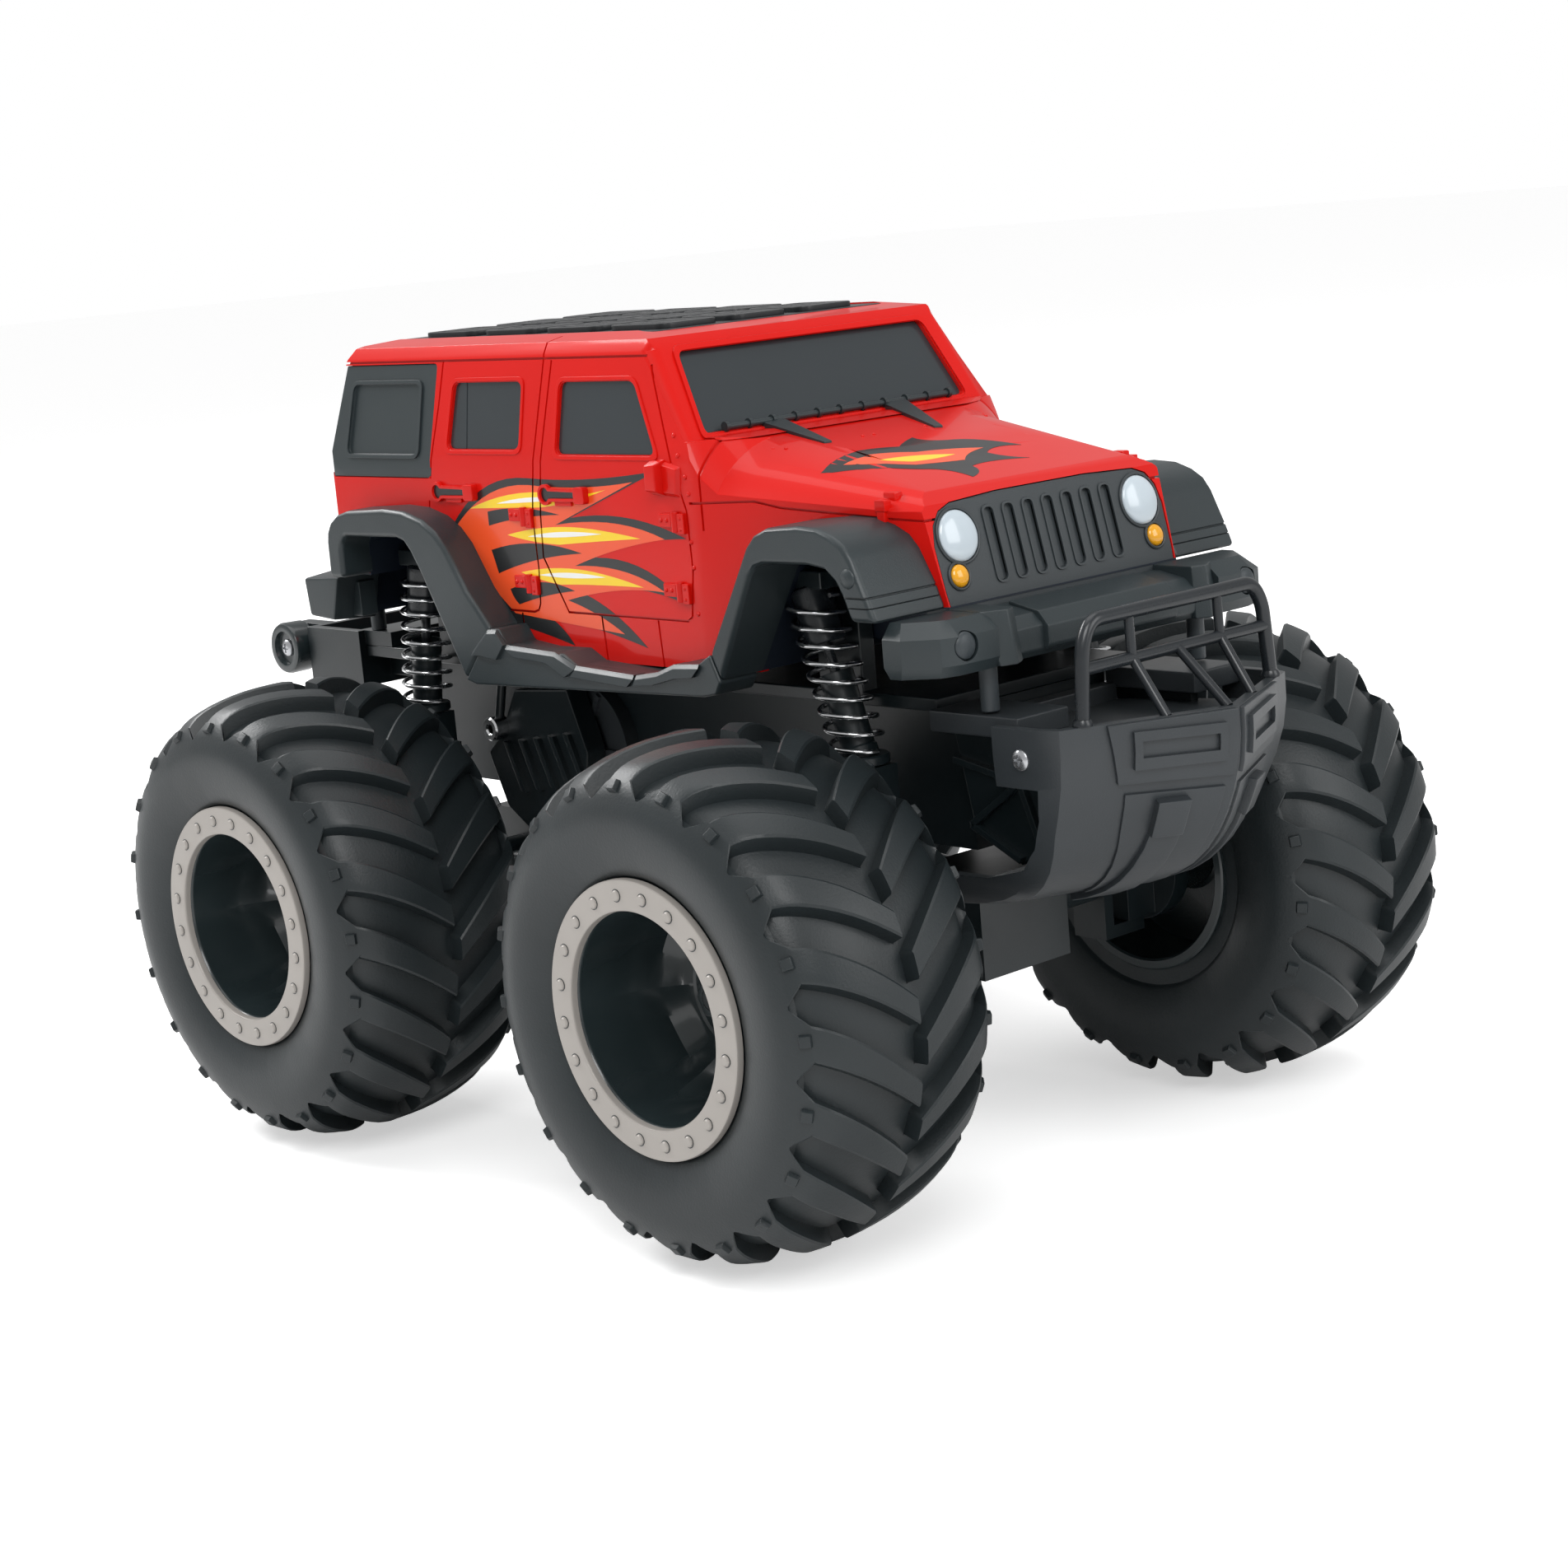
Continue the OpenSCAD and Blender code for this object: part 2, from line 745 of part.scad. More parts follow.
module rear_axle() {
  color("#24292c") {
    axle_beam(-axle_x, -1);
    shock_post(-axle_x, rear_foot_x, rear_lean);
    both_sides() {
      rod_y(-axle_x, axle_z, 33, 47, 9);
      rod_y(-axle_x, axle_z, 46.9, 49.5, 13);
      rod_y(-axle_x, axle_z, 49.4, 84, spindle_r);
    }
  }
}

module knuckle(side) {
  color("#2a3033") mirror([0, side < 0 ? 1 : 0, 0]) difference() {
    union() {
      box([axle_x - 6, kingpin_y - 3.4, axle_z - ear_z + 0.3], [axle_x + 6, 50, axle_z + ear_z - 0.3]);
      translate([axle_x, kingpin_y, axle_z - ear_z - 3]) cylinder(h = 2 * ear_z + 6, r = 2.4);
      rod_y(axle_x, axle_z, 49.9, 55, 13);
      rod_y(axle_x, axle_z, 54.9, 84, spindle_r);
      box([axle_x - arm_len - 3.2, kingpin_y - 3.2, axle_z - 2], [axle_x, kingpin_y + 3.2, axle_z + 2]);
    }
    translate([axle_x - arm_len, kingpin_y, axle_z - 10]) cylinder(h = 20, r = 1.9);
  }
}

module tie_rod() {
  x = axle_x - arm_len;
  color("#8d9499") {
    box([x - 1.5, -kingpin_y - 2, axle_z - 5.2], [x + 1.5, kingpin_y + 2, axle_z - 2.5]);
    both_sides() translate([x, kingpin_y, axle_z - 2.6]) cylinder(h = 4.6, r = 1.2);
  }
}

// ---- Wheels ----

rim_r = 26;
rim_wall = 2.4;
web_y = 72;
rim_in_y = 51.5;
rim_out_y = 101.3;

// Right or left wheel at x: local Z runs outwards along the axle
module at_wheel(x, side) {
  translate([x, 0, axle_z]) rotate([side > 0 ? -90 : 90, 0, 0]) children();
}

half_w = tyre_w / 2;
tyre_half = [
  [rim_r, half_w - 2.7], [30.2, half_w - 2.7], [34, half_w - 1.2], [39, half_w - 0.1],
  [41.5, half_w], [43.5, half_w - 0.2], [46.6, half_w - 1.1], [49.2, half_w - 2.5], [51.4, half_w - 4.5],
  [52.9, half_w - 6.5], [54, half_w - 9], [55.2, half_w - 13], [56.2, half_w - 18.5], [tyre_r, 3.5]
];
tyre_hollow = [
  [rim_r - 1, half_w - 9], [33, half_w - 8], [42, half_w - 6.5], [47, half_w - 9],
  [50, half_w - 14]
];

module tyre(x, side) {
  color("#1c1e20") at_wheel(x, side) translate([0, 0, tyre_mid_y]) rotate_extrude($fn = 96)
    difference() {
      polygon(concat(tyre_half, flip(tyre_half)));
      polygon(concat(tyre_hollow, flip(tyre_hollow)));
    }
}

module rim(x, side) {
  color("#1d2022") at_wheel(x, side) {
    rotate_extrude() polygon([
      [spindle_r + run_gap, 57], [9, 57], [9, web_y - 2], [rim_r - rim_wall, web_y - 2],
      [rim_r - rim_wall - 0.2, rim_in_y], [rim_r, rim_in_y], [rim_r, rim_out_y],
      [ring_in_r, rim_out_y], [ring_in_r - 2, web_y + 2], [8, web_y + 2], [8, 80],
      [spindle_r + run_gap, 80]
    ]);
    for (k = [0:4]) rotate([0, 0, 72 * k]) translate([7.8, -1, web_y + 1.9])
      cube([ring_in_r - 10.2, 2, 5]);
  }
}

module clamp_ring(x, side) {
  color("#a39a90") at_wheel(x, side) {
    rotate_extrude() polygon([
      [ring_in_r, rim_out_y], [ring_r, rim_out_y], [ring_r - 0.4, rim_out_y + 1.7],
      [ring_in_r + 0.3, rim_out_y + 1.7]
    ]);
    for (k = [0:19]) rotate([0, 0, 18 * k]) translate([(ring_r + ring_in_r) / 2, 0, rim_out_y + 1.6])
      cylinder(h = 0.6, r = 0.8);
  }
}

module wheel_nut(x, side) {
  color("#2b2f31") at_wheel(x, side) translate([0, 0, 80]) difference() {
    cylinder(h = 4, r = 4.6, $fn = 6);
    translate([0, 0, -1]) cylinder(h = 6, r = spindle_r + run_gap);
  }
}

body_shell();
roof_panel();
windshield();
side_windows();
quarter_panels();
grille_panel();
headlight_lenses();
turn_lenses();
door_handles();
door_hinges();
hood_latches();
wipers();
fender_trim(right);  // fender_trim_right
fender_trim(left);  // fender_trim_left
front_bumper();
fog_lamps();
rear_bumper();
body_floor();
body_posts();
chassis_tub();
chassis_deck();
gear_case_cover();
battery_pack();
battery_door();
power_switch();
front_guard();
bull_bar();
frame_screws();
rear_frame();
roller(right);  // roller_right
roller(left);  // roller_left
shock_rods(front_shock_x, front_lean);  // shock_rods_front
shock_rods(rear_shock_x, rear_lean);  // shock_rods_rear
shock_tubes(front_shock_x, front_lean);  // shock_tubes_front
shock_tubes(rear_shock_x, rear_lean);  // shock_tubes_rear
spring(front_shock_x, front_lean, right);  // spring_front_right
spring(front_shock_x, front_lean, left);  // spring_front_left
spring(rear_shock_x, rear_lean, right);  // spring_rear_right
spring(rear_shock_x, rear_lean, left);  // spring_rear_left
front_axle();
rear_axle();
knuckle(right);  // knuckle_right
knuckle(left);  // knuckle_left
tie_rod();
tyre(axle_x, right);  // tyre_front_right
tyre(axle_x, left);  // tyre_front_left
tyre(-axle_x, right);  // tyre_rear_right
tyre(-axle_x, left);  // tyre_rear_left
rim(axle_x, right);  // rim_front_right
rim(axle_x, left);  // rim_front_left
rim(-axle_x, right);  // rim_rear_right
rim(-axle_x, left);  // rim_rear_left
clamp_ring(axle_x, right);  // clamp_ring_front_right
clamp_ring(axle_x, left);  // clamp_ring_front_left
clamp_ring(-axle_x, right);  // clamp_ring_rear_right
clamp_ring(-axle_x, left);  // clamp_ring_rear_left
wheel_nut(axle_x, right);  // wheel_nut_front_right
wheel_nut(axle_x, left);  // wheel_nut_front_left
wheel_nut(-axle_x, right);  // wheel_nut_rear_right
wheel_nut(-axle_x, left);  // wheel_nut_rear_left
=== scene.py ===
# Remote control monster car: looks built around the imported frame. Lengths are in millimetres until bake().
from math import cos, pi, radians, sin, tan

import bmesh
import bpy
from mathutils import Matrix, Vector


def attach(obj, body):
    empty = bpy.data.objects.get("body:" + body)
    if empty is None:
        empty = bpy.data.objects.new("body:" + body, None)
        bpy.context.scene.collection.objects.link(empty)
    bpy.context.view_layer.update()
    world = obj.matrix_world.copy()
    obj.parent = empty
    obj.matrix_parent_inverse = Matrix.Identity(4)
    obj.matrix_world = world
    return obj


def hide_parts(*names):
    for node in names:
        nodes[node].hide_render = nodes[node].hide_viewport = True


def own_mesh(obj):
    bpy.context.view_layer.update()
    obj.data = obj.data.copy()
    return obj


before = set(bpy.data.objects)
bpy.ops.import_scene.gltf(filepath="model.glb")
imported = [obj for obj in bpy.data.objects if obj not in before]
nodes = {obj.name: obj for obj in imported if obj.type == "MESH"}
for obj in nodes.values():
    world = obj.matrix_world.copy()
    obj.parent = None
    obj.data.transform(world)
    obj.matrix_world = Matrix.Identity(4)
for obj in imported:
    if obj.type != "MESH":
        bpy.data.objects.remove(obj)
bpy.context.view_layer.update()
MM = 0.001


# ---------------------------------------------------------------- materials
def moulded(name, rgb, rough=0.4, spread=0.06, grain=0.0, grain_size=0.0004, coat=0.0, metal=0.0, tint=0.08,
            spec=0.5):
    """A moulded or painted finish: slow colour drift, roughness patches and a fine grain."""
    m = bpy.data.materials.new(name)
    m.use_nodes = True
    add, link = m.node_tree.nodes.new, m.node_tree.links.new
    b = m.node_tree.nodes["Principled BSDF"].inputs
    place_on = add("ShaderNodeTexCoord").outputs["Object"]

    def noise(scale, detail):
        n = add("ShaderNodeTexNoise")
        n.inputs["Scale"].default_value, n.inputs["Detail"].default_value = scale, detail
        link(place_on, n.inputs["Vector"])
        return n.outputs["Fac"]
    ramp = add("ShaderNodeValToRGB")
    for stop, at, share in zip(ramp.color_ramp.elements, (0.3, 0.75), (1 - tint, 1 + tint)):
        stop.color, stop.position = (*[min(1, c * share) for c in rgb], 1), at
    link(noise(38, 4), ramp.inputs["Fac"])
    link(ramp.outputs["Color"], b["Base Color"])
    span = add("ShaderNodeMapRange")
    span.inputs["To Min"].default_value = max(0.03, rough - spread)
    span.inputs["To Max"].default_value = rough + spread
    link(noise(90, 6), span.inputs["Value"])
    link(span.outputs["Result"], b["Roughness"])
    for key, value in (("Metallic", metal), ("Specular IOR Level", spec), ("Coat Weight", coat),
                       ("Coat Roughness", 0.06)):
        b[key].default_value = value
    if grain:
        bump = add("ShaderNodeBump")
        bump.inputs["Strength"].default_value, bump.inputs["Distance"].default_value = grain, 0.0001
        link(noise(1 / grain_size, 3), bump.inputs["Height"])
        link(bump.outputs["Normal"], b["Normal"])
    return m


RED = moulded("red_paint", (0.60, 0.006, 0.003), rough=0.30, spread=0.02, coat=0.28, tint=0.02, spec=0.12)
TRIM = moulded("trim_grey", (0.018, 0.026, 0.029), rough=0.40, grain=0.3, tint=0.10)
TRIM_LIGHT = moulded("trim_facet_grey", (0.026, 0.034, 0.039), rough=0.44, grain=0.3, tint=0.10)
GRILLE = moulded("grille_grey", (0.030, 0.037, 0.041), rough=0.44, grain=0.3)
GLASS = moulded("window_panel", (0.024, 0.031, 0.035), rough=0.24, spread=0.01, tint=0.03, coat=0.15)
QUARTER = moulded("quarter_panel", (0.019, 0.028, 0.031), rough=0.42, grain=0.15)
ROOF = moulded("roof_black", (0.012, 0.014, 0.016), rough=0.36, grain=0.2, tint=0.12)
CHASSIS = moulded("chassis_black", (0.008, 0.013, 0.015), rough=0.34, grain=0.2, tint=0.15)
GUARD = moulded("guard_grey", (0.028, 0.033, 0.037), rough=0.38, grain=0.3, tint=0.10)
TUBE = moulded("bar_black", (0.012, 0.015, 0.018), rough=0.28, grain=0.1, tint=0.1)
LINER = moulded("liner_navy", (0.004, 0.009, 0.019), rough=0.5, grain=0.2, tint=0.2)
RUBBER = moulded("tyre_rubber", (0.013, 0.018, 0.020), rough=0.42, spread=0.05, grain=0.45, grain_size=0.0006,
                 tint=0.12, spec=0.45)
RIM = moulded("rim_black", (0.016, 0.024, 0.026), rough=0.26, spread=0.03, coat=0.25, tint=0.1)
RING = moulded("ring_warm_silver", (0.36, 0.335, 0.31), rough=0.42, spread=0.04, metal=0.2, tint=0.04,
               grain=0.1)
STEEL = moulded("plated_steel", (0.72, 0.73, 0.74), rough=0.17, spread=0.06, metal=1.0, tint=0.05)
SCREW = moulded("screw_steel", (0.50, 0.51, 0.53), rough=0.28, spread=0.08, metal=0.9, tint=0.08)
PEARL = moulded("lens_pearl", (0.50, 0.57, 0.62), rough=0.18, spread=0.03, coat=0.7, tint=0.12)
AMBER = moulded("lens_amber", (0.80, 0.36, 0.004), rough=0.15, coat=0.6, tint=0.06)
WRAP = moulded("battery_wrap", (0.05, 0.16, 0.35), rough=0.25, coat=0.3)
SWITCH = moulded("switch_grey", (0.45, 0.46, 0.47), rough=0.4, grain=0.2)
INK_BLACK = moulded("ink_black", (0.006, 0.007, 0.008), rough=0.34, coat=0.2)
INK_ORANGE = moulded("ink_orange", (0.80, 0.075, 0.012), rough=0.3, coat=0.2, tint=0.03)
INK_YELLOW = moulded("ink_yellow", (0.88, 0.60, 0.008), rough=0.3, coat=0.2, tint=0.03)
INK_WHITE = moulded("ink_white", (0.82, 0.82, 0.80), rough=0.3, coat=0.2, tint=0.02)


# ---------------------------------------------------------------- mesh helpers
def added(name, data):
    """A new object in the scene, around a mesh, light or camera."""
    ob = bpy.data.objects.new(name, data)
    bpy.context.scene.collection.objects.link(ob)
    return ob


def make(verts, faces, name="part"):
    me = bpy.data.meshes.new(name)
    me.from_pydata([tuple(v) for v in verts], [], [tuple(f) for f in faces])
    bm = bmesh.new()
    bm.from_mesh(me)
    bmesh.ops.recalc_face_normals(bm, faces=bm.faces)
    bm.to_mesh(me)
    bm.free()
    return added(name, me)


def loft(rings, caps=True, loop=True, wrap=False):
    """Faces between rings of equally many points; caps closes the ends, wrap joins the last to the first."""
    n, count = len(rings[0]), len(rings)
    faces = [range(n), range((count - 1) * n, count * n)] if caps else []
    for i in range(count if wrap else count - 1):
        a, b = i * n, (i + 1) % count * n
        faces += [(a + k, a + (k + 1) % n, b + (k + 1) % n, b + k) for k in range(n if loop else n - 1)]
    return make([v for ring in rings for v in ring], faces)


def place(axis, a, b, d):
    return {"x": (d, a, b), "y": (a, d, b), "z": (a, b, d)}[axis]


def prism(points, axis, d0, d1, top=None):
    """A solid between two like polygons; top gives a second outline for the far end."""
    return loft([[place(axis, a, b, d0) for a, b in points],
                 [place(axis, a, b, d1) for a, b in top or points]])


def through(points):
    """A prism right across the car, for an outline in the side view."""
    return prism(points, "y", -60, 60)


def block(lo, hi):
    (x0, y0, z0), (x1, y1, z1) = lo, hi
    return prism([(x0, y0), (x1, y0), (x1, y1), (x0, y1)], "z", z0, z1)


def remove(ob):
    me = ob.data
    bpy.data.objects.remove(ob)
    bpy.data.meshes.remove(me)


def applied(ob):
    dg = bpy.context.evaluated_depsgraph_get()
    dg.update()
    old, me = ob.data, bpy.data.meshes.new_from_object(ob.evaluated_get(dg))
    ob.modifiers.clear()
    ob.data = me
    bpy.data.meshes.remove(old)
    return ob


def boolean(ob, other, op, keep=False):
    m = ob.modifiers.new("b", "BOOLEAN")
    m.operation, m.solver, m.object, m.use_self = op, "EXACT", other, True
    applied(ob)
    if not keep:
        remove(other)
    return ob


def cut(ob, other, keep=False):
    return boolean(ob, other, "DIFFERENCE", keep)


def bevel(ob, width, segments=2, angle=30):
    m = ob.modifiers.new("r", "BEVEL")
    m.width, m.segments, m.limit_method, m.angle_limit = width, segments, "ANGLE", radians(angle)
    m.miter_outer = "MITER_ARC"
    return applied(ob)


def join(obs):
    """Joins meshes into one object without booleans."""
    bm = bmesh.new()
    for o in obs:
        bm.from_mesh(o.data)
    me = bpy.data.meshes.new("part")
    bm.to_mesh(me)
    bm.free()
    for o in obs:
        remove(o)
    return added("part", me)


def mirrored(ob):
    me = ob.data.copy()
    me.transform(Matrix.Scale(-1, 4, (0, 1, 0)))
    me.flip_normals()
    return added("part", me)


def both(ob):
    return join([ob, mirrored(ob)])


def bake(ob, name, material, body, replaces=(), smooth=32, weld=True):
    """Millimetres to metres, smooth faces with sharp edges kept, material, and the body it rides on."""
    me = ob.data
    me.transform(Matrix.Scale(MM, 4))
    if weld:
        bm = bmesh.new()
        bm.from_mesh(me)
        bmesh.ops.remove_doubles(bm, verts=bm.verts, dist=2e-7)
        bmesh.ops.delete(bm, geom=[v for v in bm.verts if not v.link_faces], context="VERTS")
        bm.to_mesh(me)
        bm.free()
    me.shade_smooth()
    me.set_sharp_from_angle(angle=radians(smooth))
    me.materials.clear()
    me.materials.append(material)
    ob.name = me.name = name
    w = ob.modifiers.new("shade", "WEIGHTED_NORMAL")
    w.keep_sharp, w.weight = True, 60
    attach(ob, body)
    if replaces:
        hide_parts(*replaces)
    return ob


def look(ob, node, material, smooth=32, body="car", weld=True):
    """Bakes the piece that stands in for one CAD node and is named after it."""
    return bake(ob, node + "_look", material, body, [node], smooth, weld)


def angles(steps):
    return [2 * pi * k / steps for k in range(steps)]


def lathe(profile, steps=96, axis="y", centre=(0, 0, 0), closed=True):
    """Turns (radius, along) points about an axis through centre."""
    def spot(r, a, d):
        return [p + c for p, c in zip(place(axis, r * cos(a), r * sin(a), d), centre)]
    return loft([[spot(r, a, d) for r, d in profile] for a in angles(steps)], False, closed, True)


def turned(profile, steps, axis, centre=(0, 0, 0)):
    """A solid whose profile starts and ends on the axis."""
    return lathe([(0.0001, profile[0][1]), *profile, (0.0001, profile[-1][1])], steps, axis, centre, False)


def aimed(ob, centre, normal):
    """Turns what was made along Z to face along normal, at centre."""
    turn = Vector((0, 0, 1)).rotation_difference(Vector(normal)).to_matrix().to_4x4()
    ob.data.transform(Matrix.Translation(Vector(centre)) @ turn)
    return ob


def dome(centre, normal, r, h, base=0.6, rings=7, steps=32):
    """A lens or rivet: a low round cap on a short rim, facing along normal."""
    arc = [(r * cos(pi / 2 * k / rings), h * sin(pi / 2 * k / rings)) for k in range(rings)]
    return aimed(lathe([(0.0001, -base), (r, -base), *arc, (0.0001, h)], steps, "z", closed=False),
                 centre, normal)


def headings(pts):
    """The direction of the stretch before and after each point of a line."""
    runs = [(b - a).normalized() for a, b in zip(pts, pts[1:])]
    return list(zip(runs[:1] + runs, runs + runs[-1:]))


def tube(points, r, sides=20):
    """A round tube along points, with its joints mitred."""
    pts, rings, side = [Vector(p) for p in points], [], None
    for p, (a, b) in zip(pts, headings(pts)):
        t = (a + b).normalized()
        side = side or t.orthogonal().normalized()
        side = (side - t * side.dot(t)).normalized()
        up = t.cross(side)
        rings.append([p + (side * cos(w) + up * sin(w)) * r for w in angles(sides)])
    return loft(rings)


def curve(a, c, b, steps):
    """Points from a to b on the curve that c pulls towards itself."""
    return [a * (1 - t) ** 2 + c * 2 * t * (1 - t) + b * t * t for t in [k / steps for k in range(steps + 1)]]


def corner(a, p, b, r, share, steps):
    """The rounded corner at p between a and b."""
    u, v = a - p, b - p
    d = min(r, u.length * share, v.length * share)
    return curve(p + u.normalized() * d, p, p + v.normalized() * d, steps)


def arc_bend(points, r, steps=6):
    """Rounds the corners of a polyline with radius r."""
    pts = [Vector(p) for p in points]
    inner = [q for a, p, b in zip(pts, pts[1:], pts[2:]) for q in corner(a, p, b, r, 0.49, steps)]
    return pts[:1] + inner + pts[-1:]


def ring_round(points, r, steps=5):
    """Rounds every corner of a closed polygon."""
    pts = [Vector(p) for p in points]
    return [tuple(q) for a, p, b in zip(pts[-1:] + pts, pts, pts[1:] + pts[:1])
            for q in corner(a, p, b, r, 0.45, steps)]


def grow(points, d):
    """Moves each side of a closed polygon outwards by d."""
    pts = [Vector(p) for p in points]
    area = sum(a[0] * b[1] - b[0] * a[1] for a, b in zip(points, points[1:] + points[:1]))
    out, s = [], 1 if area > 0 else -1
    for a, p, b in zip(pts[-1:] + pts, pts, pts[1:] + pts[:1]):
        u, v = (p - a).normalized(), (b - p).normalized()
        nu, nv = Vector((u.y, -u.x)) * s, Vector((v.y, -v.x)) * s
        out.append(tuple(p + (nu + nv) * (d / max(0.25, 1 + nu.dot(nv)))))
    return out


def ribbon(line, w):
    """The outline of a line w wide, for grooves."""
    pts, left, right = [Vector(p) for p in line], [], []
    for p, (a, b) in zip(pts, headings(pts)):
        t = (a + b).normalized()
        n = Vector((-t.y, t.x)) * (w / 2 / max(0.5, t.dot(a)))
        left.append(tuple(p + n))
        right.append(tuple(p - n))
    return left + right[::-1]


# ---------------------------------------------------------------- tyres
AXLE_X, AXLE_Z, MID_Y = 78.65, 56.7, 76.5
PITCH, PITCHES, COLS = 18.0, 20, 12  # degrees from lug to lug, lugs round the tyre, points in a pitch
CROWN = [(0, 56.7), (3.5, 56.6), (9, 56.2), (14.5, 55.2), (18.5, 54), (21, 52.9), (23, 51.4), (25, 49.2)]


def crown(u):
    """Radius over the lugs at u from the tyre's middle plane, a smooth line through CROWN."""
    i = max(k for k in range(len(CROWN) - 1) if CROWN[k][0] <= u)
    (u0, r0), (u1, r1) = CROWN[i], CROWN[i + 1]

    def slope(k):
        a, b = CROWN[k - 1], CROWN[min(k + 1, len(CROWN) - 1)]
        return (b[1] - a[1]) / (b[0] - a[0]) if k else 0.0
    h, t = u1 - u0, (u - u0) / (u1 - u0)
    return ((2 * t ** 3 - 3 * t * t + 1) * r0 + (t ** 3 - 2 * t * t + t) * h * slope(i)
            + (3 * t * t - 2 * t ** 3) * r1 + (t ** 3 - t * t) * h * slope(i + 1))


def tyre_half_rows():
    """Rows from the middle plane to the bead: radius, u, a lug's two edges in degrees, groove depth."""
    def edges(u):
        t = u / shoulder_u
        s = t * (1.25 - 0.25 * t)
        return 19.1 + 15.5 * s, 24.6 + 18.2 * s
    shoulder_u, deep = 23.8, 3.8
    rows = [(crown(0) - deep, 0.0, *edges(0), deep)]
    rows += [(crown(u), u, *edges(u), deep)
             for u in (0.35, 0.7, 1.1, 3, 5.5, 8, 10.5, 13, 15.5, 18, 20, 21.6, 22.8, shoulder_u)]
    lo, up = edges(shoulder_u)
    tip = (up - PITCH + lo) / 2  # the valley's middle at the shoulder, below this lug
    half = (lo - (up - PITCH)) / 2
    fade = [(50.0, 24.4, 0.80, 3.3), (48.9, 25.2, 0.50, 2.2), (47.9, 25.8, 0.22, 0.9),
            (47.2, 26.1, 0.10, 0.0)]
    wall = [(46, 26.6), (44.6, 27.05), (43.2, 27.35), (41.5, 27.5), (39.5, 27.42), (37.5, 27.15),
            (35.5, 26.75), (33.5, 26.1), (32, 25.5), (31, 25), (30.5, 24.7), (30.2, 24.3), (29.8, 24),
            (26, 23.6)]
    for r, u, share, deep in fade + [(r, u, 0.10, 0.0) for r, u in wall]:
        rows.append((r, u, tip + half * share, tip + PITCH - half * share, deep))
    return rows


def tyre_ring(side, index, row):
    """One ring of points round the tyre; the far side's pattern is turned by half a pitch."""
    r, u, lo, up, deep = row
    wide, valley = up - lo, PITCH - (up - lo)
    foot, sink = min(0.75, valley * 0.2), -0.35 * (deep > 0)
    if index == 0:
        points = [(lo - 0.6 + j * PITCH / COLS, 0.0) for j in range(COLS)]
    else:
        points = [(lo - foot, -deep), (lo - min(0.45, wide * 0.06) * 0.3, sink),
                  (lo + min(0.75, wide * 0.12) * 0.7, 0), ((lo * 2 + up) / 3, 0), ((lo + up * 2) / 3, 0),
                  (up - min(0.75, wide * 0.12) * 0.7, 0), (up + min(0.45, wide * 0.06) * 0.3, sink)]
        points += [(up + foot + (valley - 2 * foot) * share, -deep) for share in (0, 0.25, 0.5, 0.75, 0.92)]
    if index == 1:
        points = [(a, -deep) for a, _ in points]
    turned_by = 0 if side > 0 else PITCH / 2
    return [((r + h) * cos(radians(a + k * PITCH + turned_by)), side * u,
             (r + h) * sin(radians(a + k * PITCH + turned_by))) for k in range(PITCHES) for a, h in points]


def tyre_mesh():
    rows = tyre_half_rows()
    near = [tyre_ring(1, i, row) for i, row in enumerate(rows)]
    far = [tyre_ring(-1, i, row) for i, row in enumerate(rows) if i]
    count = COLS * PITCHES
    ids = [list(range(i * count, (i + 1) * count)) for i in range(len(near) + len(far))]
    out, inn = ids[:len(near)], ids[len(near):]
    # the far half starts from the same middle ring
    start = out[0][COLS // 2:] + out[0][:COLS // 2]
    pairs = list(zip(out, out[1:])) + [(start, inn[0])] + list(zip(inn, inn[1:])) + [(out[-1], inn[-1])]
    ob = make([v for ring in near + far for v in ring],
              [(a[k], a[(k + 1) % count], b[(k + 1) % count], b[k]) for a, b in pairs for k in range(count)])
    # small square blocks on the shoulders
    studs = []
    for side in (1, -1):
        for k in range(PITCHES):
            a = radians(39.6 + k * PITCH + (0 if side > 0 else PITCH / 2))
            c = Vector((49.3 * cos(a), side * 24.9, 49.3 * sin(a)))
            n = (Vector((cos(a), 0, sin(a))) * 0.62 + Vector((0, side, 0)) * 0.78).normalized()
            t = Vector((-sin(a), 0, cos(a)))
            w = n.cross(t)
            studs.append(loft([
                [c + t * x * s + w * y * s + n * h for x, y in ((-1, -1), (1, -1), (1, 1), (-1, 1))]
                for h, s in ((-1.2, 1.55), (1.0, 1.15))]))
    return join([ob, bevel(join(studs), 0.22, 2, 30)])


def on_path(path, t):
    """The point a share t of the way along a list of points, counted in points."""
    i = min(int(t * (len(path) - 1)), len(path) - 2)
    return Vector(path[i]).lerp(Vector(path[i + 1]), t * (len(path) - 1) - i)


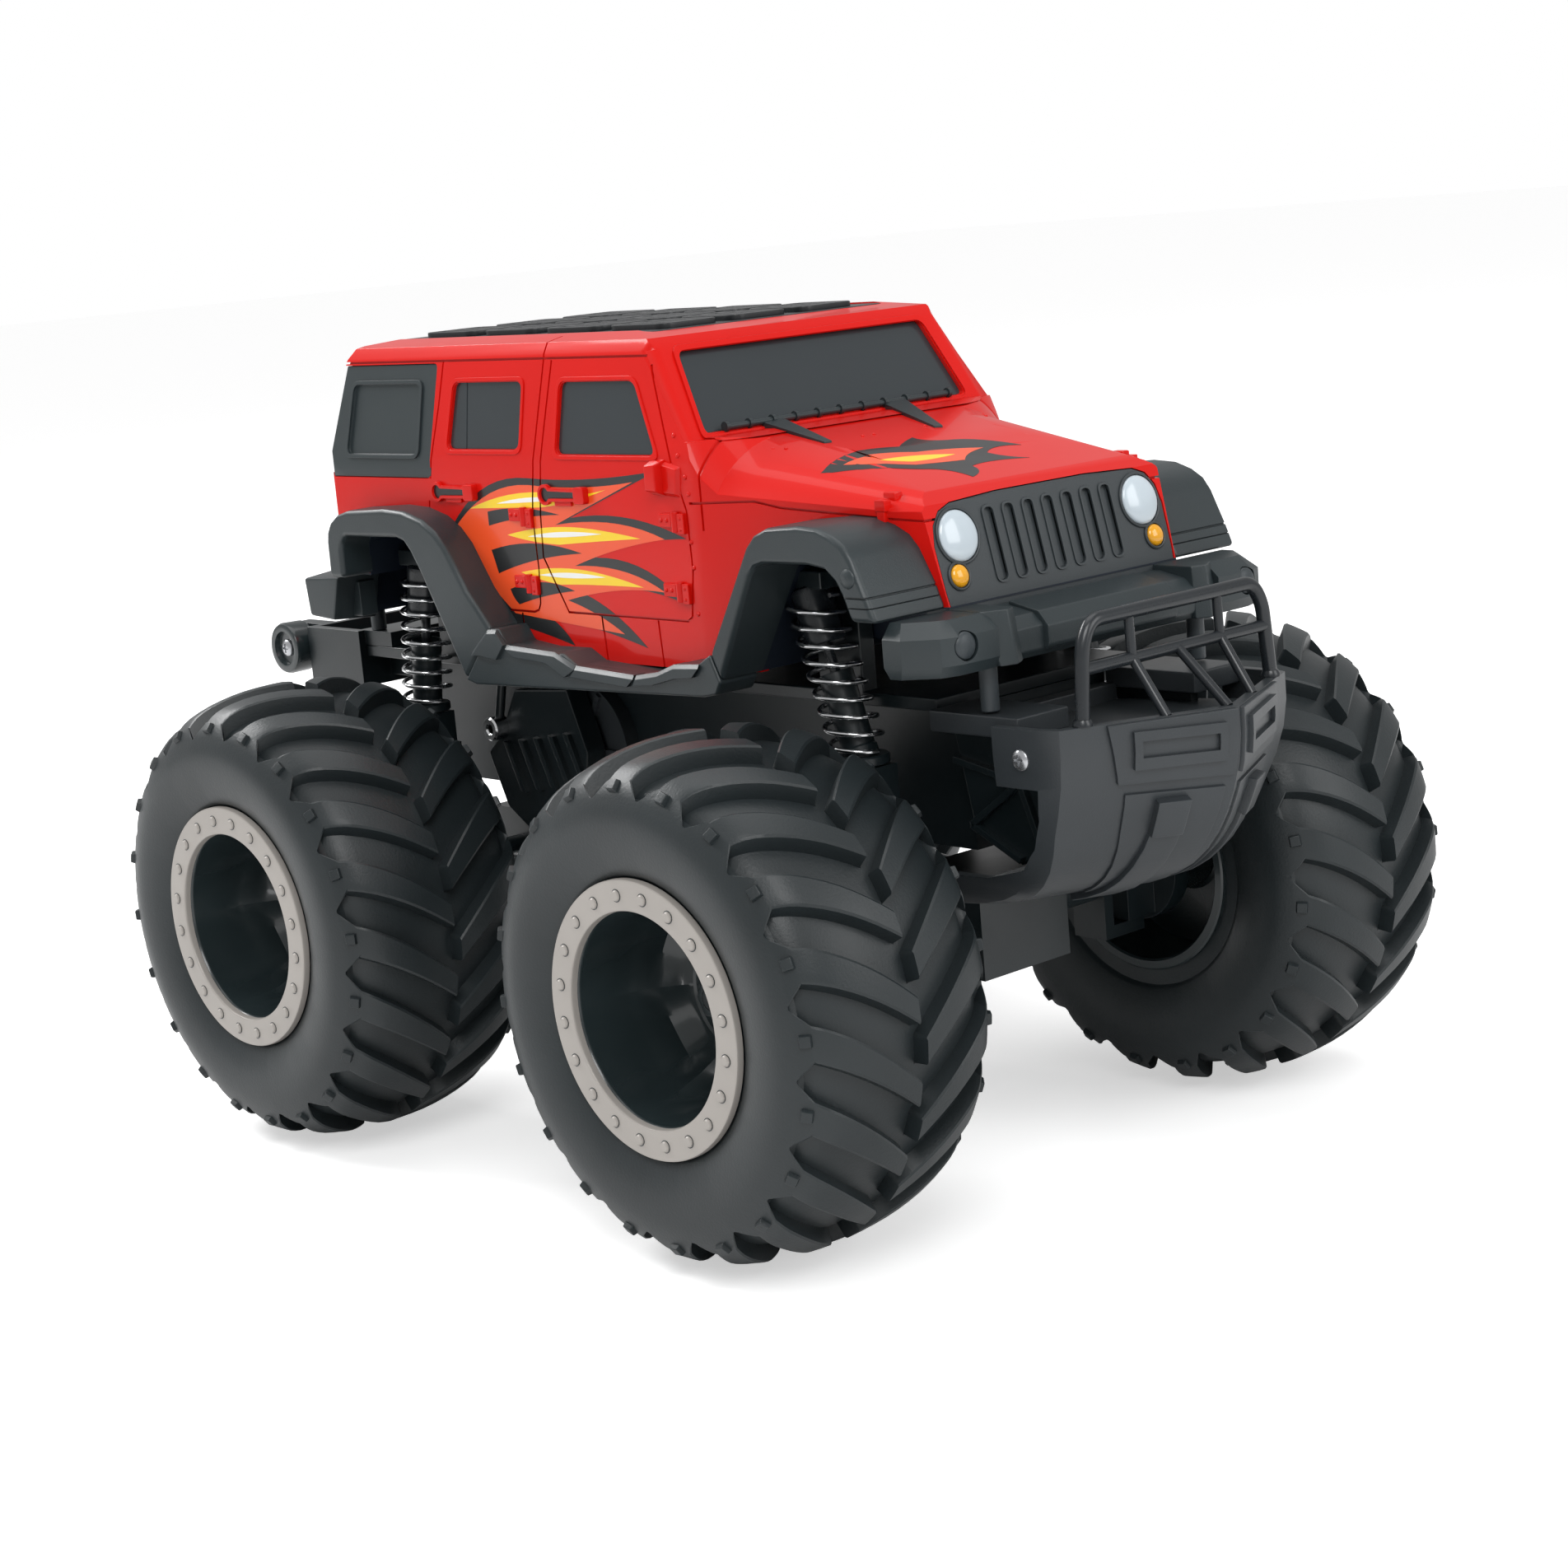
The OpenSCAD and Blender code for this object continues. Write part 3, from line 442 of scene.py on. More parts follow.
def rim_parts():
    """Rim, clamp ring and nut for a wheel whose outside faces +Y; y counts from the car's middle plane."""
    barrel = [(10, 70), (22.9, 70), (23.3, 69.6), (23.3, 52), (23.8, 51.5), (25.6, 51.5), (26, 51.9),
              (26, 101.2), (23.3, 101.2), (23.0, 100.8), (22.9, 100.2), (22.85, 99.5), (22.85, 75), (10, 74)]
    rim = [lathe(barrel, 120)]
    # a funnel from the barrel's mouth down to the hub disc, drawn up into five sharp-edged ridges
    low = [(22.9, 100.4), (22.3, 88), (20.4, 80), (16, 76.5), (12.9, 76)]
    high = [(22.9, 100.4), (21, 90.5), (17.8, 83.8), (14.9, 79.6), (12.9, 77.6)]
    rings = []
    for j in range(17):
        line = [(on_path(low, j / 16).lerp(on_path(high, j / 16), 1 - abs(sin(2.5 * (a - radians(36))))), a)
                for a in angles(160)]
        rings.append([(p.x * cos(a), p.y, p.x * sin(a)) for p, a in line])
    rim.append(loft(rings, caps=False))
    rim.append(lathe([(2.6, 57), (9, 57), (9, 69.4), (10, 70), (10, 74), (13.1, 75.5), (13.1, 77.6),
                      (12.7, 77.9), (12.2, 77.4), (8.3, 77.2), (7.8, 77.5), (7.6, 79), (7.1, 79.5),
                      (5.8, 79.6), (5.6, 80), (2.6, 80)], 80))
    # small bolt heads round the hub
    rim += [dome((10.3 * cos(a), 77.2, 10.3 * sin(a)), (0, 1, 0), 0.8, 0.45, 0.3, 4, 16) for a in angles(6)]
    ring = [lathe([(23.15, 101.2), (30, 101.2), (30, 102.4), (29.85, 102.75), (29.55, 102.9), (23.75, 102.9),
                   (23.4, 102.75), (23.2, 102.4)], 128)]
    bolt = [(0.0001, 0.62), (0.9, 0.6), (1.15, 0.38), (1.25, -0.05), (1.25, -0.3)]
    for a in angles(20):
        c = (26.6 * cos(a + radians(9)), 102.85, 26.6 * sin(a + radians(9)))
        ring.append(lathe(bolt, 24, "y", c, False))
        # a thin black ring round each bolt head, kept with the rim: painted shade for the groove where the
        # head meets the clamp ring
        rim.append(lathe([(1.2, -0.25), (1.2, 0.11), (1.42, 0.11), (1.42, -0.25)], 24, "y", c, False))
    nut = bevel(prism([(4.6 * cos(a), 4.6 * sin(a)) for a in angles(6)], "y", 80, 84), 0.5, 2, 30)
    cut(nut, turned([(2.6, 83), (2.6, 85)], 32, "y"))
    return join(rim), join(ring), nut


def build_wheels():
    rim, ring, nut = rim_parts()
    kinds = {"tyre": (tyre_mesh(), RUBBER, "tyre_rubber", 28), "rim": (rim, RIM, "rim_black", 30),
             "clamp_ring": (ring, RING, "ring_beige", 35), "wheel_nut": (nut, RIM, "rim_black", 30)}
    for end, side in (("front", "right"), ("front", "left"), ("rear", "right"), ("rear", "left")):
        for part, (source, mat, slot, smooth) in kinds.items():
            ob = added("part", source.data.copy())
            if part == "tyre":
                ob.data.transform(Matrix.Translation((0, MID_Y, 0)))
            if side == "right":
                ob.data.transform(Matrix.Scale(-1, 4, (0, 1, 0)))
                ob.data.flip_normals()
            ob.data.transform(Matrix.Translation((AXLE_X if end == "front" else -AXLE_X, 0, AXLE_Z)))
            look(ob, f"{part}_{end}_{side}", mat, smooth, f"wheel_{end}_{side}", part != "tyre")
    for source, *_ in kinds.values():
        remove(source)


build_wheels()


# ---------------------------------------------------------------- body shell
TAIL_X, TAIL_TOP_X, ROOF_X, COWL_X, COWL_Z = -101.5, -89, 30, 45, 169.5
ROOF_Z, SIDE_Y, GUTTER_Y, BELT_Z, ROCKER_Z = 193.5, 48.5, 45, 165, 118.8
HOOD_X, HOOD_Z, GRILLE_X, GRILLE_Z, NOSE_X = 101, 157.5, 105, 155, 110


def side_outline(i):
    return [(TAIL_X + i, ROCKER_Z - 2), (TAIL_X + 0.5 + i, 150), (TAIL_X + 3.5 + i, 162),
            (TAIL_TOP_X + i, 189), (TAIL_TOP_X + 3.5 + i, ROOF_Z - 1 - i), (TAIL_TOP_X + 12, ROOF_Z - i),
            (ROOF_X - 12, ROOF_Z - i), (ROOF_X - 1 - i, ROOF_Z - 1.5 - i),
            (ROOF_X + 1.5 - i, ROOF_Z - 4 - i), (COWL_X - 1.5 - i, COWL_Z - i), (COWL_X + 2, COWL_Z - i),
            (75, 164.2 - i), (HOOD_X - i, HOOD_Z - i), (GRILLE_X - i, GRILLE_Z - i), (NOSE_X - i, 134),
            (NOSE_X - i, ROCKER_Z - 2)]


def half_plan(i):
    return [(TAIL_X - 4, 44.5 - i - 2.5), (TAIL_X, 44.5 - i), (TAIL_X + 6, SIDE_Y - i), (COWL_X, SIDE_Y - i),
            (58, 45.5 - i), (HOOD_X - 2, 38.5 - i), (NOSE_X + 4, 35.0 - i)]


def half_section(i):
    return [(SIDE_Y - i, ROCKER_Z - 3), (SIDE_Y - i, BELT_Z), (GUTTER_Y - i, 189.5),
            (GUTTER_Y - 1.2 - i, ROOF_Z - 1.5 - i), (GUTTER_Y - 8, ROOF_Z - i)]


def shoulder(x):
    """The hood's falling side at x as (y, z) points, from where it leaves the flat top to the body's side."""
    ends = ((23, 170.3), (23, 158.3)), ((43, 168.6), (36.4, 158.2)), ((49.2, 155.6), (38.8, 152.8))
    return curve(*[Vector(p) * (1 - (x - 46) / 55) + Vector(q) * ((x - 46) / 55) for p, q in ends], 11)


def hood_wedge(i):
    """What the rounded sides take off the hood, on the left."""
    rings = []
    for x, lift in ((43.6, 13.0), (47.5, 4.5), (52, 0.6), (58, 0), (114, 0)):
        line = [(p.x - 0.7 * i, p.y + lift - 0.75 * i) for p in shoulder(max(46, x))]
        rings.append([(x, y, z) for y, z in line + [(62, line[-1][1]), (62, 190)]])
    return loft(rings)


def soften(ob, radius, pick):
    """Rounds the edges that pick(middle, direction, normals) chooses."""
    bm = bmesh.new()
    bm.from_mesh(ob.data)
    bmesh.ops.dissolve_limit(bm, angle_limit=radians(0.5), verts=bm.verts, edges=bm.edges)
    bm.normal_update()
    chosen = []
    for e in bm.edges:
        a, b = (v.co for v in e.verts)
        if len(e.link_faces) == 2 and pick((a + b) / 2, (b - a).normalized(),
                                           [f.normal for f in e.link_faces]):
            chosen.append(e)
    bmesh.ops.bevel(bm, geom=chosen, offset=radius, offset_type="OFFSET", segments=5, profile=0.5,
                    affect="EDGES", clamp_overlap=False)
    bm.to_mesh(ob.data)
    bm.free()


def body_solid(i, round_by=0.0):
    a = prism(side_outline(i), "y", -60, 60)
    hp, hs = half_plan(i), half_section(i)
    b = prism(hp + [(x, -y) for x, y in reversed(hp)], "z", 90, 210)
    c = prism(hs + [(-y, z) for y, z in reversed(hs)], "x", TAIL_X - 6, NOSE_X + 6)
    boolean(a, b, "INTERSECT")
    boolean(a, c, "INTERSECT")
    cut(a, both(hood_wedge(i)))
    if round_by:
        # the windshield pillars' front edges
        soften(a, 3.0, lambda m, d, ns: 30 < m.x < 46 and 170 < m.z < 189 and abs(m.y) > 40 and abs(d.z) > 0.6
               and max(n.x for n in ns) > 0.5)
        bevel(a, round_by, 3, 20)
    return a


PANES = [[(-42.8, 183.3), (-16, 183.3), (-16.9, 167.6), (-45.3, 167.6)],
         [(-1.3, 183), (25.4, 183), (33.4, 166.6), (-2.5, 166.6)]]
QUARTER_PANE = [(-91, 188), (-49.7, 188), (-53.2, 160.4), (-98.5, 160.4)]
SHIELD = [(-41, 170.6), (41, 170.6), (38, 188.5), (-38, 188.5)]
ROOF_PLAN = [(TAIL_TOP_X + 5.5, -36), (ROOF_X - 8, -37), (ROOF_X - 8, 37), (TAIL_TOP_X + 5.5, 36)]
GRILLE_HALF = [(34.6, 124), (35.8, 137), (36.0, 146.5), (35.0, 150.8), (32.6, 153.6), (28.8, 155.0),
               (14, 155.6)]
GRILLE_OUT = GRILLE_HALF + [(-y, z) for y, z in reversed(GRILLE_HALF)]
ARCH_REAR = [(-35.3, 112.5), (-49.9, 138.7), (-54.1, 144), (-58.8, 146.5), (-80.4, 146.2), (-83.1, 144.8),
             (-84, 136), (-106.5, 136), (-106.5, 105), (-35.3, 105)]
ARCH_FRONT = [(58, 105), (59.5, 120), (71.5, 144.5), (76, 146.5), (97, 146.5), (101, 143), (102, 134),
              (115, 134), (115, 105)]


SEAM = 0.55


def groove_lines():
    """Seams of the doors, the hood and the tail, as lines in the side view."""
    return [[(-47.3, 188.4), (-49.1, 178), (-53.2, 160.4)],
            [(-54.6, 155), (-55.3, 151.2), (-49.5, 145.3)],
            [(-7.2, 193), (-7.6, 188.2), (-10.2, 171.4), (-13.3, 152.1), (-13, 139.1), (-13.7, 131.4),
             (-14.6, 129.8), (-16.3, 129.3), (-42, 129.4)],
            [(-4.6, 188), (-7.4, 171.4), (-10.3, 152), (-10.7, 142.5), (-3, 129.8), (40, 129.7),
             (41.6, 130.6), (43.3, 141.1), (42.9, 154.5), (36.1, 173.1), (31.4, 186.4)],
            [(-90, 188.6), (30, 188.4)],
            [(44, 156.1), (61.6, 156.4), (68.6, 155), (81.5, 153.9), (98.5, 152.5), (106, 152)],
            [(-21.2, 128.9), (-21.2, 120)],
            [(9.2, 129.4), (10, 117)],
            [(29.5, 129.4), (30.3, 117)]]


def skin_pocket(cutter, deep):
    """What of a cutter lies less than deep under the body's surface."""
    return cut(cutter, body_solid(deep))


def open_below(ob, z):
    return cut(ob, block((-120, -60, 90), (120, 60, z)))


def build_body():
    hull = cut(body_solid(0, 1.7), body_solid(2.4))
    for arch in (ARCH_REAR, ARCH_FRONT):
        cut(hull, through(arch))
    open_below(hull, ROCKER_Z)
    pockets = [through(ring_round(p, 2.2)) for p in PANES] + [through(ring_round(QUARTER_PANE, 1.5))]
    pockets += [prism(ring_round(SHIELD, 1.6), "x", 20, 60), prism(ring_round(ROOF_PLAN, 3), "z", 180, 200)]
    for p in pockets + [prism(GRILLE_OUT, "x", 90, 125)]:
        cut(hull, skin_pocket(p, 1.2))
    seams = [through(ribbon(line, SEAM)) for line in groove_lines()]
    seams.append(prism(ribbon([(47.5, -60), (47.5, 60)], SEAM), "z", 150, 180))
    cut(hull, skin_pocket(join(seams), 0.7))
    look(bevel(hull, 0.22, 2, 38), "body_shell", RED, 28)
    # the dark lining that shows through the wheel arches
    lining = cut(body_solid(2.45), body_solid(3.2))
    for arch in (ARCH_REAR, ARCH_FRONT):
        cut(lining, through(arch))
    dark = [open_below(lining, ROCKER_Z + 0.2), block((-100.6, -45.4, 124.5), (-95.5, 45.4, 140))]
    for arch in (ARCH_REAR, ARCH_FRONT):
        tunnel = open_below(cut(prism(arch, "y", -49, 49), through(grow(arch, -0.4))), ROCKER_Z + 0.4)
        dark.append(boolean(tunnel, body_solid(-0.06), "INTERSECT"))
    bake(join(dark), "arch_lining", LINER, "car")


build_body()


# ---------------------------------------------------------------- panes, panels and lamps
def layer(i_out, i_in, cutter):
    """What of a cutter lies between two depths under the body's surface."""
    return cut(boolean(body_solid(i_out), cutter, "INTERSECT"), body_solid(i_in))


def frame_ring(points, axis, a, b, grow_by, width, high):
    """A raised lip that follows a pane's edge."""
    outer = prism(ring_round(grow(points, grow_by + width), 2.6), axis, a, b)
    cut(outer, prism(ring_round(grow(points, grow_by), 2.2), axis, a - 1, b + 1))
    return bevel(layer(-high, 0.6, outer), 0.14, 2, 38)


def build_panes():
    panes = join([layer(0.75, 1.6, through(ring_round(p, 2.0))) for p in PANES])
    cut(panes, skin_pocket(block((-38.6, -60, 160), (-38.2, 60, 186)), 1.0))
    look(bevel(panes, 0.15, 2, 40), "side_windows", GLASS)
    quarter = layer(0.35, 1.6, through(ring_round(grow(QUARTER_PANE, -0.15), 1.5)))
    inset = [(-85.5, 183.2), (-57, 183.2), (-58.4, 166.2), (-88.5, 166.2)]
    cut(quarter, skin_pocket(through(ring_round(inset, 2.2)), 0.8))
    lip = frame_ring(inset, "y", -60, 60, 0.1, 0.9, 0.15)
    look(join([bevel(quarter, 0.18, 2, 40), lip]), "quarter_panels", QUARTER)
    glass = layer(0.75, 1.6, prism(ring_round(SHIELD, 1.4), "x", 20, 60))
    look(bevel(glass, 0.2, 2, 40), "windshield", GLASS)
    lips = [frame_ring(p, "y", -60, 60, 0.25, 0.9, 0.3) for p in PANES]
    lips.append(frame_ring(SHIELD, "x", 20, 60, 0.3, 1.2, 0.35))
    bake(join(lips), "window_frames", RED, "car")


def box_round(x0, y0, x1, y1, r, steps=6):
    return ring_round([(x0, y0), (x1, y0), (x1, y1), (x0, y1)], r, steps)


def build_roof():
    parts = [bevel(prism(ring_round(grow(ROOF_PLAN, -0.2), 2.8), "z", ROOF_Z - 1.3, ROOF_Z - 0.35),
                   0.25, 2, 40)]
    for y0 in (-21.5, 0, 21.5):
        for x0 in [-76 + 24.6 * k for k in range(4)]:
            bar = prism(box_round(x0, y0 - 8.6, x0 + 21, y0 + 8.6, 3.5), "z", ROOF_Z - 0.5, ROOF_Z + 0.95)
            for y in (y0 - 5.3, y0, y0 + 5.3):
                cut(bar, prism(box_round(x0 + 2.2, y - 1.5, x0 + 18.8, y + 1.5, 1.45), "z",
                               ROOF_Z + 0.05, ROOF_Z + 3))
            parts.append(bevel(bar, 0.3, 2, 40))
    look(join(parts), "roof_panel", ROOF)


NOSE_SLOPE = (NOSE_X - GRILLE_X) / (GRILLE_Z - 134)
NOSE_TILT = radians(13.4)
NOSE_N = Vector((cos(NOSE_TILT), 0, sin(NOSE_TILT)))


def nose_point(y, z, out=0.0):
    return Vector((GRILLE_X + (GRILLE_Z - z) * NOSE_SLOPE, y, z)) + NOSE_N * out


def build_nose():
    def slot(y, wider, x0, x1):
        return prism(box_round(y - 1.45 - wider, 137.2 - wider, y + 1.45 + wider, 152.6 + wider, 1.4 + wider),
                     "x", x0, x1)
    places = [-18.3 + 6.1 * k for k in range(7)]
    panel = layer(0.1, 2.6, prism(grow(GRILLE_OUT, -0.25), "x", 90, 125))
    for y in places:
        cut(panel, skin_pocket(slot(y, 0, 90, 125), 0.7))
    parts = [bevel(panel, 0.18, 2, 38)]
    for y in places:  # a thin lip round each slot
        parts.append(bevel(layer(-0.25, 0.6, cut(slot(y, 0.5, 90, 125), slot(y, 0, 89, 126))), 0.1, 2, 38))
    for y, z, r in [(s * y, z, r) for s in (-1, 1) for y, z, r in ((28.6, 147.9, 5.6), (30.9, 139.8, 2.5))]:
        bezel = lathe([(r + 0.05, -0.4), (r + 0.75, -0.4), (r + 0.7, 0.25), (r + 0.45, 0.42),
                       (r + 0.15, 0.35)], 48, "z")
        parts.append(aimed(bezel, nose_point(y, z), NOSE_N))
    look(join(parts), "grille_panel", GRILLE)
    heads = join([dome(nose_point(s * 28.6, 147.9, 0.1), NOSE_N, 5.55, 1.5, 0.8, 9, 56) for s in (-1, 1)])
    bake(heads, "headlights_look", PEARL, "car", ["headlight_lenses"], 50)
    turns = join([dome(nose_point(s * 30.9, 139.8, 0.1), NOSE_N, 2.45, 1.2, 0.6, 7, 36) for s in (-1, 1)])
    bake(turns, "turn_lamps_look", AMBER, "car", ["turn_lenses"], 50)


# ---------------------------------------------------------------- flares, rocker step and bumpers
FLARE_Y = 57.2
REAR_OUT = [(-89.4, 136), (-89.2, 145), (-88.6, 147.6), (-87, 149.9), (-83.5, 152), (-78.9, 153.1),
            (-63.2, 153.9), (-55, 153.4), (-47.5, 151.5), (-42.5, 148.8), (-38.5, 145.1), (-31.5, 134.8),
            (-23.2, 125.9)]
REAR_IN = [(-83.2, 136), (-83.1, 143), (-82.4, 145.4), (-80.4, 146.6), (-58.8, 146.9), (-55.6, 146),
           (-53.2, 143.6), (-49.9, 138.7), (-35.3, 113.2)]
FRONT_OUT = [(56.4, 124.5), (71.2, 148.3), (74, 151), (78, 152.6), (87.9, 153.3), (94, 152.9), (98.5, 151.4),
             (101.8, 149.4), (103.9, 146.6), (107.6, 138.9), (109.8, 133.7)]
FRONT_IN = [(59.4, 118.5), (71.6, 142.0), (73.6, 144.2), (76.5, 145), (90, 145.2), (95.5, 144.4),
            (98.4, 142), (100.2, 139), (102.4, 133.7)]


def build_flares():
    """One moulding a side: rear flare, the stepped sill and the front fender."""
    rear = prism(REAR_OUT + REAR_IN[::-1], "y", 40, FLARE_Y)
    sill = prism([(-35.3, 113.2), (-23.6, 126.2), (-20, 126.4), (-17.2, 122.6), (-8, 121.6), (4, 121.8),
                  (9.4, 119.2), (30, 118.2), (38, 119.4), (44, 121.5), (52, 122), (56.4, 124.5),
                  (59.4, 118.5), (57.6, 115.6), (53, 114.8), (-31, 112.2)], "y", 46, FLARE_Y)
    front = prism(FRONT_OUT + FRONT_IN[::-1], "y", 36, FLARE_Y)
    parts = [bevel(piece, r, 3, 38) for piece, r in ((rear, 1.3), (sill, 0.7), (front, 1.3))]
    # stepped facets along the sill's upper edge
    for run in ([(-31, 120.4), (-24, 126.0), (-20.4, 126.2), (-17.2, 122.7), (-20.6, 119.0), (-27, 119.6)],
                [(-17.2, 122.7), (1.5, 122.0), (8.8, 119.3), (5.2, 116.4), (-1.5, 119.4), (-13.6, 120.0)],
                [(8.8, 119.3), (30, 118.4), (28.0, 115.6), (7.2, 116.6)],
                [(30.6, 118.4), (38.4, 119.6), (44.4, 121.7), (53, 122.2), (51.2, 119.2), (45, 118.6),
                 (37, 116.6), (30, 116.0)]):
        upper = [(x + 0.5, z - 0.9) if k < len(run) / 2 else (x - 0.15, z) for k, (x, z) in enumerate(run)]
        parts.append(bevel(prism(run, "y", 54, FLARE_Y + 0.2), 0.1, 1, 30))
        parts.append(bevel(prism(run, "y", FLARE_Y + 0.1, FLARE_Y + 1.1, top=upper), 0.2, 2, 20))
    # two lines scored round the fender's front
    lines = join([block((96, 30, z0), (120, 70, z1)) for z0, z1 in ((138.6, 139.1), (136.6, 136.9))])
    cut(lines, prism([(x - 0.6, z) for x, z in FRONT_OUT] + FRONT_IN[::-1], "y", 20, FLARE_Y - 0.6))
    left = cut(join(parts), lines)
    for ob, side, out in ((mirrored(left), "right", -1), (left, "left", 1)):
        cut(ob, body_solid(0.3))
        bolt = dome((102.6, out * (FLARE_Y - 0.05), 142.8), (0, out, 0), 2.1, 0.7, 0.6, 4, 32)
        look(join([ob, bolt]), f"fender_trim_{side}", TRIM, 30)


def build_bumpers():
    z0, z1 = 122, 133.4
    # raised ends with a broad chamfer, sides folded back
    low = [(110.3, 35), (110.3, 54.6), (113.5, 54.6), (120.2, 50), (121.6, 46), (121.8, 38), (121.5, 35)]
    mid = [(109.3, 35), (109.3, 55.2), (114.6, 55.2), (121.4, 50.4), (123, 46.5), (123.3, 38), (122.8, 35)]
    top = [(109.3, 35), (109.3, 52.6), (112.6, 52.6), (117.4, 48.6), (119.4, 46), (119.6, 38), (119.2, 35)]
    end = prism(low, "z", z0, z0 + 2.4, top=mid)
    boolean(end, prism(mid, "z", z0 + 2.4, z1 - 3.2), "UNION")
    boolean(end, prism(mid, "z", z1 - 3.2, z1, top=top), "UNION")
    cut(end, turned([(3.15, 116), (3.15, 122.7), (2.85, 125)], 40, "x", (0, 44.5, 128)))
    knee = prism([(109, 34.8), (122.8, 34.8), (124.2, 31), (122.2, 27.5), (109, 27.5)], "z", z0, z1 + 0.2,
                 top=[(109, 36.6), (119.4, 36.6), (122.6, 31.5), (121, 28.2), (109, 28.2)])
    bar = prism([(109, z0), (120.6, z0), (121.8, z0 + 1.6), (121.8, 128.6), (119.2, 131), (112, 132.4),
                 (109, 132.4)], "y", -29, 29)
    centre = prism([(112, 123.4), (122.6, 123.4), (123.2, 124.4), (123.2, 128.4), (120.6, 131.4),
                    (112, 133.2)], "y", -20.5, 20.5)
    parts = [both(join([bevel(end, 0.45, 2, 25), bevel(knee, 0.45, 2, 25)])), bevel(bar, 0.45, 2, 25),
             bevel(centre, 0.5, 2, 25)]
    look(join(parts), "front_bumper", TRIM, 30)
    lamps = join([dome((122.3, s * 44.5, 128), (1, 0, 0), 2.95, 1.2, 2.5, 7, 36) for s in (-1, 1)])
    look(lamps, "fog_lamps", TRIM_LIGHT, 50)
    bar = prism([(-104, 124.2), (-111.5, 124.2), (-112.6, 125.4), (-112.6, 131.4), (-111.2, 133),
                 (-104, 133)], "y", -46, 46)
    wing = prism([(-108.6, 135.6), (-90.4, 136.4), (-94.4, 123.2), (-107.2, 124)], "y", 41, 53.6,
                 top=[(-107.2, 134.6), (-91.6, 135.4), (-95.2, 124.2), (-106, 125)])
    brace = block((-104.5, 43, 124.6), (-90.5, 48, 133.5))
    rear = join([bevel(bar, 0.5, 2, 25), both(join([bevel(wing, 0.7, 2, 20), bevel(brace, 0.3, 2, 30)]))])
    look(rear, "rear_bumper", TRIM, 30)


build_panes()
build_roof()
build_nose()
build_flares()
build_bumpers()


# ---------------------------------------------------------------- front guard
# Stations down the guard: height, foremost x at the middle, half width at the shoulders
GUARD_RUN = [(110, 156, 38), (104, 156, 38), (98, 155.2, 37.6), (92, 153.3, 36.9), (87, 151.1, 36),
             (82.5, 148.4, 34.9), (78.4, 145, 33.6), (75, 141, 32.4), (72.4, 136.4, 31.2),
             (70.4, 130.6, 30.2), (68.9, 123.6, 29.3), (67.8, 115, 28.6)]
GUARD_PLAN = [(0.0, 0), (12.7, 26.8), (17.0, 36.2), (22.4, 38)]  # distance behind the nose, half width


def guard_row(t):
    """The half outline at station t, which may lie between two stations."""
    i = min(int(t), len(GUARD_RUN) - 2)
    f = t - i
    z, x, w = (a + (b - a) * f for a, b in zip(GUARD_RUN[i], GUARD_RUN[i + 1]))
    squeeze = 1 - 0.35 * max(0, (t - 4) / 7)
    return [Vector((x - d * squeeze, y * w / 38, z)) for d, y in GUARD_PLAN]


def guard_at(s, t, out=0.0):
    """A point on the front plate: s from 0 at the nose ridge to 1 at its outer edge, t down the stations."""
    def at(s, t):
        row = guard_row(t)
        return row[0] + (row[1] - row[0]) * s
    p = at(s, t)
    n = (at(s + 0.01, t) - p).cross(at(s, t + 0.01) - p).normalized()
    return p + n * (out if n.x > 0 else -out)


def guard_patch(corners, high, steps):
    """A raised patch on the front plate between four (s, t) corners, given round from the top inner one."""
    a, b, c, d = [Vector(q) for q in corners]
    (nu, nv), w = steps, steps[0] + 1
    verts = []
    for out in (high, -0.8):
        for j in range(nv + 1):
            for i in range(w):
                q = a.lerp(b, i / nu).lerp(d.lerp(c, i / nu), j / nv)
                verts.append(guard_at(q.x, q.y, out))
    foot, faces = w * (nv + 1), []
    for k in [j * w + i for j in range(nv) for i in range(nu)]:
        faces += [[k, k + 1, k + w + 1, k + w], [foot + k, foot + k + w, foot + k + w + 1, foot + k + 1]]
    edge = list(range(nu)) + [j * w + nu for j in range(nv)]
    edge += [nv * w + i for i in range(nu, 0, -1)] + [j * w for j in range(nv, 0, -1)]
    faces += [[p, q, foot + q, foot + p] for p, q in zip(edge, edge[1:] + edge[:1])]
    return make(verts, faces)


